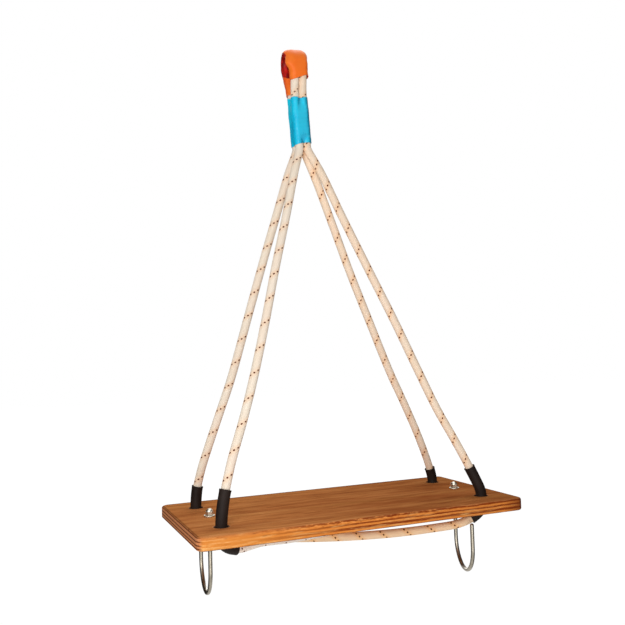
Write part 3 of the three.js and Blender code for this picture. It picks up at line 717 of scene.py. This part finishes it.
def plywood_material():
    """Stained and varnished plywood: long grain on the faces, plies round the edges, with painted shade in
    the holes and on the back and right edges, and a painted highlight round the hole rims.
    """
    n = Nodes("stained_plywood")
    x, y, z = n.split(n.place())
    facing_x, facing_y, facing_z = n.facing()
    flat = n.between(n.size(facing_z), 0.8, 0.97)
    streaks = n.grain((20, 240, 240), 4, 0.6, 0.4)

    from_middle = n.size(n.minus(x, EYE_SHIFT * MM))
    end_gap = n.minus(BOARD_LENGTH / 2 * MM, from_middle)
    back_gap = n.times(n.minus(BOARD_WIDTH / 2 * MM, y), BACK_BORDER_SHARE)
    border = n.between(n.math("MINIMUM", end_gap, back_gap), BORDER_WIDTH * MM, BORDER_WIDTH / 2 * MM)
    hole_x = n.minus(from_middle, ROPE_HOLE_X * MM)
    hole_y = n.minus(n.size(y), ROPE_HOLE_Y * MM)
    from_hole = n.length(hole_x, hole_y)
    rim_edge = (ROPE_HOLE_RADIUS + ROPE_HOLE_RIM_ROUND / 2) * MM
    rim_middle = rim_edge + RIM_WIDTH / 2 * MM
    face = n.over(face_colour(n, streaks), border, 0.7, rgb(84, 46, 24))
    # A pale ring round each rope hole: a painted highlight on the rounded rim.
    rim = n.between(from_hole, rim_edge + RIM_WIDTH * MM, rim_middle)
    face = n.over(face, rim, 0.25, rgb(246, 190, 140))

    def depth_of(height):
        return n.math("DIVIDE", n.minus(-EYE_HEIGHT * MM, height), BOARD_THICKNESS * MM)

    wide_wave = n.minus(n.grain((14, 14, 30), 2), 0.5)
    short_wave = n.minus(n.grain((55, 55, 160), 3, 0.6), 0.5)
    waved = n.scaled(short_wave, SHORT_WAVE * MM, n.scaled(wide_wave, WIDE_WAVE * MM, z))
    depth, straight = depth_of(waved), depth_of(z)
    front, end = front_colour(n, x, depth, straight, wide_wave), end_colour(n, depth, straight)
    edge = n.mix(n.between(n.size(facing_x), 0.45, 0.8), front, end)
    # Painted shade on the edges that face back and on those that face right.
    edge = n.over(edge, n.between(facing_y, 0.1, 0.4), 0.75, rgb(88, 48, 26))
    edge = n.over(edge, n.between(facing_x, 0.2, 0.6), 0.85, rgb(84, 34, 12))
    colour = n.mix(flat, edge, face)
    # Dark inside each rope hole: painted shade.
    colour = n.mix(n.between(from_hole, rim_middle, rim_edge), colour, rgb(84, 44, 24))
    darker = n.mix(0.7, colour, rgb(108, 44, 12))
    colour = n.over(colour, n.between(x, *FADE), n.scaled(flat, 0.46, 0.25), darker)
    shine = n.scaled(flat, -0.12, 0.12)
    n.set(Base_Color=colour, Roughness=n.scaled(streaks, 0.15, 0.5), Specular_IOR_Level=shine)
    n.set(Normal=n.bump(streaks, 0.0003, 0.3))
    return n.owner


loop_looks = {
    "left": rope_material("rope_sheath", rgb(255, 238, 216)),
    "right": rope_material("rope_sheath_tanned", rgb(255, 224, 192)),
}
# The ropes under the board share a warm tint that is painted bounce light from the board; the upper one also
# has a pale stretch of painted light at its left end.
under_looks = {
    "upper": rope_material("rope_sheath_painted_warm_bounce_and_pale_stretch", rgb(255, 200, 134), 0.02),
    "lower": rope_material("rope_sheath_painted_warm_bounce", rgb(255, 200, 134)),
}
sleeve_look = sleeve_material()
band_look = band_material()
protector_look = protector_material()
wire_look = steel_material("zinc_steel_wire", (rgb(128, 120, 106), rgb(184, 176, 160)))
fastener_look = steel_material("zinc_steel_fasteners", (rgb(204, 200, 184), rgb(238, 234, 220)))
plywood_look = plywood_material()

# Rope

ROPE_STEP = 2.0
ROPE_SIDES = 32

# Where the flecks stand along each leg: how far they are moved at the board, and how much closer
# together they are than the even pitch. The eye takes up what differs.
FLECK_FITS = {
    "front_left": (9, 1.0),
    "back_left": (24, 1.007),
    "front_right": (-15, 1.021),
    "back_right": (24, 1.024),
}

legs = {name: leg_line(name) for name in CORNERS}
eyes = {"left": leaned(eye_line(-STRAND_OFFSET)), "right": leaned(eye_line(STRAND_OFFSET))}
crossings = {
    "upper": ("front_left", "back_right", UPPER_BEND_SHARES, UPPER_SAG_SHARES),
    "lower": ("front_right", "back_left", LOWER_BEND_SHARES, LOWER_SAG_SHARES),
}
unders = {end: crossing_line(*crossing) for end, crossing in crossings.items()}


def loop_marks(along, end):
    """Marks for a loop: fitted on both legs, and evenly spread over the eye between them."""
    front_shift, front_rate = FLECK_FITS["front_" + end]
    back_shift, back_rate = FLECK_FITS["back_" + end]
    front, back = (lengths_along(legs[side + end])[-1] for side in ("front_", "back_"))
    whole = along[-1]
    marks = [front_shift, front_shift + front_rate * front]
    marks += [whole + back_shift - back_rate * back, whole + back_shift]
    return np.interp(along, [0, front, whole - back, whole], marks)


def rope_piece(name, line, nodes, look, start, loop=None):
    """One stretch of the rope. Its marks are the distances that the braid's pattern follows."""
    path = resampled(line, ROPE_STEP)
    along = lengths_along(path)
    marks = start + (loop_marks(along, loop) if loop else along)
    piece = tube(name, path, ROPE_RADIUS, ROPE_SIDES, marks)
    shaded(piece, look)
    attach(piece, "shelf")
    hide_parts(*nodes)
    return along[-1]


rope_total = 0.0
for end in ("left", "right"):
    front, back = legs["front_" + end], legs["back_" + end]
    whole = np.concatenate([front, eyes[end][1:], back[::-1][1:]])
    nodes = ("rope_leg_front_" + end, "rope_eye_" + end, "rope_leg_back_" + end)
    rope_total += rope_piece("rope_loop_" + end, whole, nodes, loop_looks[end], rope_total, end)
for end, line in unders.items():
    nodes = ("rope_crossing_" + end,)
    rope_total += rope_piece("rope_under_" + end, line, nodes, under_looks[end], rope_total)

# Sleeves

SLEEVE_STEP = 1.5
SLEEVE_SIDES = 48
SLEEVE_PARTS = 60
SLEEVE_SEED = 5
SLEEVE_SKIN = 0.05
SLEEVE_FLARE = 0.45
BORE_FLARE = 0.4
FLARE_REACH = 1.6
LIP = 0.35
LIP_FLARE = 0.5
RIPPLES = 6
RIPPLE_HEIGHT = 0.05
RIPPLE_RATES = (0.03, 0.16)
RIPPLE_COUNTS = (1, 5)
RIPPLE_PHASES = (0, 6.28)


def sleeve_piece(name, line, seed):
    """A shrunk tube along the rope: wall thickness, cut ends a little flared, slight ripples."""
    path = resampled(line, SLEEVE_STEP)
    along = lengths_along(path)
    ahead, side, third = frames_along(path)
    angles = round_angles(SLEEVE_SIDES)
    random = np.random.default_rng(seed)
    ripples = []
    for _ in range(RIPPLES):
        rate, count = random.uniform(*RIPPLE_RATES), random.integers(*RIPPLE_COUNTS)
        ripples.append((RIPPLE_HEIGHT, rate, count, random.uniform(*RIPPLE_PHASES)))

    def ring(i, radius, flare, shift=0.0):
        end_gap = min(along[i], along[-1] - along[i])
        size = radius + flare * math.exp(-end_gap / FLARE_REACH)
        sizes = [size + waves(along[i], angle, ripples) for angle in angles]
        return ring_points(path[i] + ahead[i] * shift, side[i], third[i], angles, sizes)

    last = len(path) - 1
    lip_radius = (SLEEVE_RADIUS + SLEEVE_BORE_RADIUS) / 2 + LIP_FLARE
    rows = [ring(i, SLEEVE_RADIUS - SLEEVE_SKIN, SLEEVE_FLARE) for i in range(last + 1)]
    rows.append(ring(last, lip_radius, 0.0, LIP))
    rows += [ring(i, SLEEVE_BORE_RADIUS, BORE_FLARE) for i in range(last, -1, -1)]
    rows.append(ring(0, lip_radius, 0.0, -LIP))
    piece = ring_mesh("sleeve_" + name + "_shrunk", rows)
    shaded(piece, sleeve_look)
    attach(piece, "shelf")
    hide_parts("sleeve_" + name)


for end, (start_name, end_name, _, _) in crossings.items():
    for name, below in ((start_name, unders[end]), (end_name, unders[end][::-1])):
        _, _, reach_above, reach_below = CORNERS[name]
        steps_above = np.linspace(HALF_BOARD + reach_above, 0, SLEEVE_PARTS)
        steps_below = np.linspace(0, HALF_BOARD + reach_below, SLEEVE_PARTS)[1:]
        line = np.concatenate([at_distances(legs[name], steps_above), at_distances(below, steps_below)])
        sleeve_piece(name, line, list(CORNERS).index(name) + SLEEVE_SEED)

# Board

CORNER_STEPS = 20
EDGE_STEPS = 7
HOLE_SIDES = 64
RIM_STEPS = 5
BOARD_SHARP_ANGLE = 35


def roundings(radius, steps):
    """Insets and heights down a wall of the board that is rounded over at the top and the bottom."""
    angles = [QUARTER_TURN * i / steps for i in range(steps + 1)]
    top = [(radius * (1 - math.sin(angle)), -radius * (1 - math.cos(angle))) for angle in angles]
    return top + [(inset, -BOARD_THICKNESS - height) for inset, height in reversed(top)]


def edge_ring(inset, height):
    """The board's outline drawn in by an inset, at a height."""
    radius = BOARD_CORNER_RADIUS - inset
    centre_x, centre_y = (size / 2 - BOARD_CORNER_RADIUS for size in (BOARD_LENGTH, BOARD_WIDTH))
    ring = []
    for corner, (x, y) in enumerate(((1, -1), (1, 1), (-1, 1), (-1, -1))):
        for i in range(CORNER_STEPS + 1):
            angle = QUARTER_TURN * (corner - 1 + i / CORNER_STEPS)
            away_x, away_y = radius * math.cos(angle), radius * math.sin(angle)
            ring.append(board_point(x * centre_x + away_x, y * centre_y + away_y, height))
    return ring


def hole_ring(x, y, radius, height):
    angles = round_angles(HOLE_SIDES)
    return [board_point(x + radius * math.cos(a), y + radius * math.sin(a), height) for a in angles]


def flat_faces(points, loops, up):
    """Triangles over a flat face with holes in it, turned up or down."""
    order = [i for loop in loops for i in loop]
    faces = []
    for corners in tessellate_polygon([[Vector((*points[i][:2], 0)) for i in loop] for loop in loops]):
        triangle = [order[corner] for corner in corners]
        p, q, r = (points[i] for i in triangle)
        faces_up = (q[0] - p[0]) * (r[1] - p[1]) - (q[1] - p[1]) * (r[0] - p[0]) > 0
        faces.append(tuple(triangle if faces_up == up else reversed(triangle)))
    return faces


def build_board():
    points, faces, top_loops, bottom_loops = [], [], [], []

    def wall(rings, outside):
        """Add a wall, whose first and last rings bound the flat faces."""
        start, around = len(points), len(rings[0])
        for ring in rings:
            points.extend(ring)
        for face in grid_faces(len(rings), around):
            moved = tuple(i + start for i in face)
            faces.append(moved[::-1] if outside else moved)
        top_loops.append(list(range(start, start + around)))
        bottom_loops.append(list(range(len(points) - around, len(points))))

    wall([edge_ring(*rounding) for rounding in roundings(BOARD_EDGE_ROUND, EDGE_STEPS)], True)
    holes = []
    for x, y, _, _ in CORNERS.values():
        holes.append((x * ROPE_HOLE_X, y * ROPE_HOLE_Y, ROPE_HOLE_RADIUS, ROPE_HOLE_RIM_ROUND))
    for x in (-BOLT_X, BOLT_X):
        holes.append((x, 0, BOLT_HOLE_RADIUS, BOLT_HOLE_RIM_ROUND))
    for x, y, radius, rim in holes:
        wall([hole_ring(x, y, radius + inset, height) for inset, height in roundings(rim, RIM_STEPS)], False)
    faces += flat_faces(points, top_loops, True) + flat_faces(points, bottom_loops, False)
    return mesh_object("plywood_board", points, faces)


board = build_board()
shaded(board, plywood_look)
board.data.set_sharp_from_angle(angle=math.radians(BOARD_SHARP_ANGLE))
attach(board, "shelf")
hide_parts("seat_board")

# Hose over the eye. Its ears and its flat top are swells: height, middle and width

HOSE_HALF_POINTS = 22
HOSE_ROWS = 110
HOSE_SHARP_ANGLE = 50
LEFT_EARS = [(6.2, -8, 18), (1.6, 25, 16), (4.6, -27, 7)]
RIGHT_EAR = (1.7, -14, 6)
MOUTH_EAR = (1.8, 3, 7)
TOP_FLAT = (0.1, 0, 16)
HOSE_CREASES = [(0.16, 0.33, 3, 0), (0.1, 0.71, -5, 0)]
# Where the outer wall of the hose's left side is painted dark red as shade: how far it may face out, where
# it starts and ends from the top, and its slant.
PAINTED_SHADE_FACING = 0.3
PAINTED_SHADE_FROM = -16
PAINTED_SHADE_TO = 41
PAINTED_SHADE_SLANT = 6


def build_hose():
    """A flattened hose over both bights: ears where it folds, a slanted mouth, a rounded back tip."""
    line = eye_line(0)
    along = lengths_along(line)
    ahead = directions(line)
    whole = along[-1]
    rising = len(line) // 2
    front_end, back_gap = np.interp([-HOSE_FRONT_DROP, -HOSE_BACK_DROP], line[:rising, 2], along[:rising])
    back_end = whole - back_gap
    section = []
    for side in (1, -1):
        for i in range(HOSE_HALF_POINTS):
            section.append((side, math.pi * i / (HOSE_HALF_POINTS - 1) - side * QUARTER_TURN))

    def point(share, inset, side, angle):
        right = (side + math.cos(angle)) / 2
        out = -math.sin(angle)
        front = front_end + HOSE_FRONT_SLANT * (1 + right) / 2 * (1 + out) / 2
        back = back_end - HOSE_BACK_TIP * right * right
        distance = front + (back - front) * share
        from_top = distance - whole / 2
        ear = sum(swell(from_top, *part) for part in LEFT_EARS)
        if side > 0:
            ear = swell(from_top, *RIGHT_EAR) + swell(distance - front_end, *MOUTH_EAR)
        size = ROPE_RADIUS + HOSE_GAP + HOSE_WALL - inset + waves(distance, angle, HOSE_CREASES)
        across = side * STRAND_OFFSET + (size + ear) * math.cos(angle)
        height = size * out * (1 - swell(from_top, *TOP_FLAT) * max(0.0, -out))
        y, z = (np.interp(distance, along, line[:, k]) for k in (1, 2))
        ahead_y, ahead_z = (np.interp(distance, along, ahead[:, k]) for k in (1, 2))
        return head_point(across, y - ahead_z * height, z + ahead_y * height)

    def painted_shade(row, side, angle):
        """One on the stretch of the hose's left side that is painted dark red as shade, nought elsewhere."""
        from_top = front_end + (back_end - front_end) * row / (HOSE_ROWS - 1) - whole / 2
        out = -math.sin(angle)
        return float(side < 0 and out < PAINTED_SHADE_FACING and PAINTED_SHADE_FROM < from_top < PAINTED_SHADE_TO - PAINTED_SHADE_SLANT * out)

    hose = ring_mesh("eye_hose", double_wall(HOSE_ROWS, section, HOSE_WALL, point))
    # The inner wall is painted dark red as shade all over.
    outside = [painted_shade(row, *spot) for row in range(HOSE_ROWS) for spot in section]
    marks = hose.data.attributes.new("painted_shade", "FLOAT", "POINT")
    marks.data.foreach_set("value", outside + [1.0] * len(outside))
    shaded(hose, protector_look)
    hose.data.set_sharp_from_angle(angle=math.radians(HOSE_SHARP_ANGLE))
    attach(hose, "shelf")
    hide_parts("eye_protector")


build_hose()

# Band round the four strands. Its folds are swells up from its foot and round its front right

BAND_ROWS = 90
BAND_ARC_STEPS = 20
TOP_LOBES = (1, 0, 15)
BOTTOM_LOBES = (1, 0, 8)
BAND_BULGES = [(0.35, 24, 9), (-0.15, 12, 6)]
BAND_CREASES = [(0.1, 0.2, 3, 0), (0.05, 0.9, 5, 0)]
BAND_FOLDS = [((-0.7, 13, 4), (1, 0.15, 0.3)), ((0.5, 7, 3), (1, 0.35, 0.3))]


def build_band():
    """Shrunk tube: lobed round the strands at both ends, smooth between, with a few dents."""
    spots = []
    for corner, (x, y) in enumerate(((1, 1), (-1, 1), (-1, -1), (1, -1))):
        spots += [(corner, x, y, i / BAND_ARC_STEPS) for i in range(BAND_ARC_STEPS + 1)]

    def point(share, inset, corner, x, y, part):
        from_top, from_bottom = (1 - share) * BAND_LENGTH, share * BAND_LENGTH
        crease = BAND_CREASE * max(swell(from_top, *TOP_LOBES), swell(from_bottom, *BOTTOM_LOBES))
        angle = corner * QUARTER_TURN - crease + (QUARTER_TURN + 2 * crease) * part
        size = ROPE_RADIUS + BAND_GAP + BAND_WALL - inset + waves(from_top, angle, BAND_CREASES)
        size += sum(swell(from_top, *bulge) for bulge in BAND_BULGES)
        if (x, y) == (1, -1):
            size += sum(swell(from_bottom, *up) * swell(part, *around) for up, around in BAND_FOLDS)
        across = x * STRAND_OFFSET + size * math.cos(angle)
        out = y * STRAND_OFFSET + size * math.sin(angle)
        to_right = min(1.0, 1 + across / (STRAND_OFFSET + size))
        bottom = BAND_BOTTOM + BAND_END_SLANT * to_right
        top = BAND_TOP - BAND_TOP_DIP * (abs(part - 0.5) * 2) ** 2 + BAND_BACK_RISE * (1 + y) / 2
        return head_point(across, out, bottom + (top - bottom) * share)

    band = ring_mesh("shrunk_band", double_wall(BAND_ROWS, spots, BAND_WALL, point))
    shaded(band, band_look)
    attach(band, "shelf")
    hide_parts("binding_band")


build_band()

# Hooks and their fasteners

WIRE_SIDES = 28
THREAD_STEP = 0.2
THREAD_RUNOUT_ROWS = 8
THREAD_CHAMFER = 0.6
SHANK_ROWS = 8
BEND_STEPS = 60
FREE_ROWS = 5
TIP_STEPS = 9
TURN_SIDES = 96
CHAMFER_STEPS = 5
DOME_STEPS = 14
CAP_CENTRE_RADIUS = 0.02
WASHER_EDGE = 0.25
NUT_HALF_SIDE = math.pi / 6
HOOK_SHARP_ANGLE = 28


def hook_place(side, x, y, z):
    """A point given from the top of the bolt's hole, with X towards the free leg."""
    angle = math.radians(HOOK_TURNS[side])
    c, s = math.cos(angle), math.sin(angle)
    end = -1 if side == "left" else 1
    return board_point(end * BOLT_X + x * c - y * s, x * s + y * c, z)


def rod_rows():
    """Rows along a hook's rod: place, turn, radius and the share of the thread's depth cut there."""
    bend = HOOK_REACH / 2
    low = bend - BOARD_THICKNESS - HOOK_DROP
    tip = -BOARD_THICKNESS - HOOK_MOUTH - WIRE_RADIUS
    stops = np.arange(HOOK_TOP, HOOK_TOP - THREAD_LENGTH, -THREAD_STEP)
    rows = []
    for row, z in enumerate(stops):
        rows.append((0.0, z, 0.0, WIRE_RADIUS, min(1.0, (len(stops) - row) / THREAD_RUNOUT_ROWS)))
    for z in np.linspace(stops[-1] - 2 * THREAD_STEP, low, SHANK_ROWS)[:-1]:
        rows.append((0.0, z, 0.0, WIRE_RADIUS, 0.0))
    for i in range(BEND_STEPS + 1):
        turn = math.pi * i / BEND_STEPS
        rows.append((bend - bend * math.cos(turn), low - bend * math.sin(turn), turn, WIRE_RADIUS, 0.0))
    for z in np.linspace(low, tip, FREE_ROWS)[1:]:
        rows.append((HOOK_REACH, z, math.pi, WIRE_RADIUS, 0.0))
    for i in range(1, TIP_STEPS):
        angle = QUARTER_TURN * i / TIP_STEPS
        z, radius = tip + WIRE_RADIUS * math.sin(angle), WIRE_RADIUS * math.cos(angle)
        rows.append((HOOK_REACH, z, math.pi, radius, 0.0))
    return rows


def hook_rod(side):
    """One bent rod with a rolled thread on the bolt leg and a rounded tip on the free leg."""
    rows = rod_rows()
    points = []
    for x, z, turn, radius, cut in rows:
        for k in range(WIRE_SIDES):
            angle = -FULL_TURN * k / WIRE_SIDES
            thread = (HOOK_TOP - z) / THREAD_PITCH - k / WIRE_SIDES
            size = radius - THREAD_DEPTH * abs(2 * (thread % 1) - 1) * cut
            size = min(size, WIRE_RADIUS - THREAD_CHAMFER + (HOOK_TOP - z))
            across, along = size * math.cos(angle), size * math.sin(angle)
            points.append(hook_place(side, x + across * math.cos(turn), along, z + across * math.sin(turn)))
    return mesh_object("hook_" + side + "_rod", points, capped_faces(len(rows), WIRE_SIDES))


def turned(name, side, lift, rings):
    """A turned piece from rings: a radius, or one for each angle, and a height."""
    loops = []
    for radius, height in rings:
        loop = []
        for angle in round_angles(TURN_SIDES):
            size = radius(angle) if callable(radius) else radius
            loop.append(hook_place(side, size * math.cos(angle), size * math.sin(angle), lift + height))
        loops.append(loop)
    return ring_mesh(name, loops)


def hexagon(limit):
    """The radius of a nut at an angle, with its corners turned off at a limit."""
    def radius(angle):
        from_flat = (angle + NUT_HALF_SIDE) % (2 * NUT_HALF_SIDE) - NUT_HALF_SIDE
        return min(NUT_FLATS / 2 / math.cos(from_flat), limit)
    return radius


def nut_rings(height, bottom_chamfer):
    """Outer rings of a nut from its bottom to its top."""
    flat = NUT_FLATS / 2
    extra = flat / math.cos(NUT_HALF_SIDE) - flat
    chamfer = []
    for i in range(CHAMFER_STEPS + 1):
        share = i / CHAMFER_STEPS
        chamfer.append((hexagon(flat + extra * share), extra * math.tan(NUT_HALF_SIDE) * share))
    bottom = chamfer if bottom_chamfer else [(hexagon(flat + extra), 0.0)]
    return bottom + [(radius, height - rise) for radius, rise in reversed(chamfer)]


def washer_rings():
    soft = WASHER_RADIUS - WASHER_EDGE
    bore, top = FASTENER_BORE_RADIUS, WASHER_THICKNESS
    rings = [(bore, top), (bore, 0.0), (soft, 0.0), (WASHER_RADIUS, WASHER_EDGE)]
    return rings + [(WASHER_RADIUS, top - WASHER_EDGE), (soft, top)]


def cap_rings():
    """The cap nut: hexagon, then a dome on a short neck, with the bore from below."""
    rings = nut_rings(CAP_HEX_HEIGHT, False)
    for i in range(DOME_STEPS):
        angle = QUARTER_TURN * i / DOME_STEPS
        rings.append((CAP_DOME_RADIUS * math.cos(angle), CAP_HEX_HEIGHT + CAP_DOME_HEIGHT * math.sin(angle)))
    rings += [(CAP_CENTRE_RADIUS, CAP_HEX_HEIGHT + CAP_DOME_HEIGHT), (CAP_CENTRE_RADIUS, CAP_BORE_TOP)]
    return rings + [(FASTENER_BORE_RADIUS, CAP_BORE_TOP), (FASTENER_BORE_RADIUS, 0.0)]


def build_hook(side):
    body = side + "_tool_hook"
    nut = nut_rings(NUT_HEIGHT, True) + [(FASTENER_BORE_RADIUS, NUT_HEIGHT), (FASTENER_BORE_RADIUS, 0.0)]
    under = -BOARD_THICKNESS - SEAT_GAP - WASHER_THICKNESS
    fasteners = [
        ("upper_washer_", "_disc", SEAT_GAP, washer_rings()),
        ("cap_nut_", "_domed", 2 * SEAT_GAP + WASHER_THICKNESS, cap_rings()),
        ("lower_washer_", "_disc", under, washer_rings()),
        ("lower_nut_", "_hex", under - SEAT_GAP - NUT_HEIGHT, nut),
    ]
    pieces = [("hook_", hook_rod(side), wire_look)]
    for node, shape, lift, rings in fasteners:
        pieces.append((node, turned(node + side + shape, side, lift, rings), fastener_look))
    for node, piece, look in pieces:
        shaded(piece, look)
        piece.data.set_sharp_from_angle(angle=math.radians(HOOK_SHARP_ANGLE))
        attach(piece, body)
        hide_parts(node + side)


build_hook("left")
build_hook("right")

# Camera, set to the photograph's view


def camera():
    yaw, pitch, roll = (math.radians(v) for v in (CAMERA_YAW, CAMERA_PITCH, CAMERA_ROLL))
    data = bpy.data.cameras.new("camera")
    data.lens = CAMERA_LENS
    data.sensor_width = CAMERA_SENSOR
    data.clip_start, data.clip_end = CAMERA_NEAR, CAMERA_FAR
    obj = bpy.data.objects.new("camera", data)
    turn = Matrix.Rotation(-yaw, 4, "Z") @ Matrix.Rotation(QUARTER_TURN + pitch, 4, "X")
    obj.matrix_world = Matrix.Translation(Vector(CAMERA_PLACE) * MM) @ turn @ Matrix.Rotation(-roll, 4, "Z")
    bpy.context.scene.collection.objects.link(obj)
    bpy.context.scene.camera = obj


camera()

# Studio: pale floor and backdrop that show white, and soft lamps

FLOOR_DROP = 0.55
FLOOR_REACH = 14.0
FLOOR_GLOW = 1.05
SHADOW_FROM = 1.0
SHADOW_REACH = 1.4
SHADOW_SHARE = 0.12
WORLD_LEVEL = 0.28
WHITE = (1, 1, 1, 1)

# Each lamp: its place and what it looks at, in metres, its level and its size
LAMPS = {
    "key_lamp": ((-0.85, -1.26, -0.3), (0.05, 0.0, -0.6), 0.5, 0.7),
    "low_lamp": ((-0.35, -1.5, -1.2), (0.05, 0.0, -0.7), 0.24, 0.7),
    "top_lamp": ((0.2, 0.4, 1.0), (0.05, 0.0, -0.5), 0.38, 1.2),
    "back_lamp": ((0.8, 1.85, -0.75), (0.05, 0.0, -0.45), 0.22, 0.8),
}


def seen_share(n):
    """One for rays from the camera, in reflections and through glass, and nought for the rest."""
    rays = n.add("ShaderNodeLightPath").outputs
    seen = n.math("MAXIMUM", rays["Is Camera Ray"], rays["Is Glossy Ray"])
    return n.math("MAXIMUM", seen, rays["Is Transmission Ray"])


def floor_material():
    """A pale floor that the camera sees as white, with a little real shadow left under the object."""
    n = Nodes("studio_floor")
    n.set(Base_Color=(0.86, 0.86, 0.86, 1), Roughness=0.9, Specular_IOR_Level=0.0)
    glow = n.fill(n.add("ShaderNodeEmission"), WHITE, FLOOR_GLOW)
    away = n.add("ShaderNodeVectorMath", operation="LENGTH")
    n.fill(away, n.place())
    fade = n.between(away.outputs["Value"], SHADOW_FROM, SHADOW_FROM + SHADOW_REACH)
    share = n.times(seen_share(n), n.scaled(fade, SHADOW_SHARE, 1 - SHADOW_SHARE))
    surface = n.fill(n.add("ShaderNodeMixShader"), share, n.shader.outputs[0], glow)
    n.put(n.tree.nodes["Material Output"].inputs["Surface"], surface)
    n.owner.cycles.emission_sampling = "NONE"
    return n.owner


def floor():
    reach = FLOOR_REACH / MM
    corners = [(-reach, -reach, 0), (reach, -reach, 0), (reach, reach, 0), (-reach, reach, 0)]
    obj = mesh_object("studio_floor", corners, [(0, 1, 2, 3)], smooth=False)
    obj.location = (0, 0, cad_low.z - FLOOR_DROP)
    obj.data.materials.append(floor_material())


def world():
    n = Nodes("studio", bpy.data.worlds)
    bpy.context.scene.world = n.owner
    strength = n.fill(n.add("ShaderNodeMapRange"), Value=seen_share(n), To_Min=WORLD_LEVEL)
    n.fill(n.tree.nodes["Background"], WHITE, strength)


def lamp(name, place, target, level, size):
    """A soft round lamp. Its level is how bright it makes a white surface that faces it at the target."""
    data = bpy.data.lights.new(name, "AREA")
    data.shape = "DISK"
    data.size = size
    data.energy = level * (math.pi * (Vector(place) - Vector(target)).length) ** 2
    obj = bpy.data.objects.new(name, data)
    obj.location = place
    obj.rotation_mode = "QUATERNION"
    obj.rotation_quaternion = (Vector(target) - Vector(place)).to_track_quat("-Z", "Y")
    obj.visible_camera = False
    bpy.context.scene.collection.objects.link(obj)


# Dark cards beside the object, which only reflections see, give the steel its dark sides
CARD_ASIDE = 0.55
CARD_FROM = -0.3
CARD_TO = 1.3
CARD_LOW = -1.3
CARD_HIGH = 0.25


def reflection_card(name, side):
    yaw = math.radians(CAMERA_YAW)
    ahead, right = Vector((math.sin(yaw), math.cos(yaw), 0)), Vector((math.cos(yaw), -math.sin(yaw), 0))
    middle = (cad_low + cad_high) / 2
    ways = (CARD_FROM, CARD_TO, CARD_TO, CARD_FROM)
    corners = []
    for along, height in zip(ways, (CARD_LOW, CARD_LOW, CARD_HIGH, CARD_HIGH)):
        spot = middle + right * side * CARD_ASIDE + ahead * along
        corners.append((spot.x / MM, spot.y / MM, height / MM))
    obj = mesh_object(name, corners, [(0, 1, 2, 3)], smooth=False)
    n = Nodes(name)
    n.set(Base_Color=rgb(46, 42, 38), Roughness=0.9, Specular_IOR_Level=0.0)
    obj.data.materials.append(n.owner)
    obj.visible_camera = obj.visible_diffuse = obj.visible_shadow = False


floor()
world()
reflection_card("left_card", -1)
reflection_card("right_card", 1)
for name, settings in LAMPS.items():
    lamp(name, *settings)
bpy.context.scene.view_settings.view_transform = "Standard"
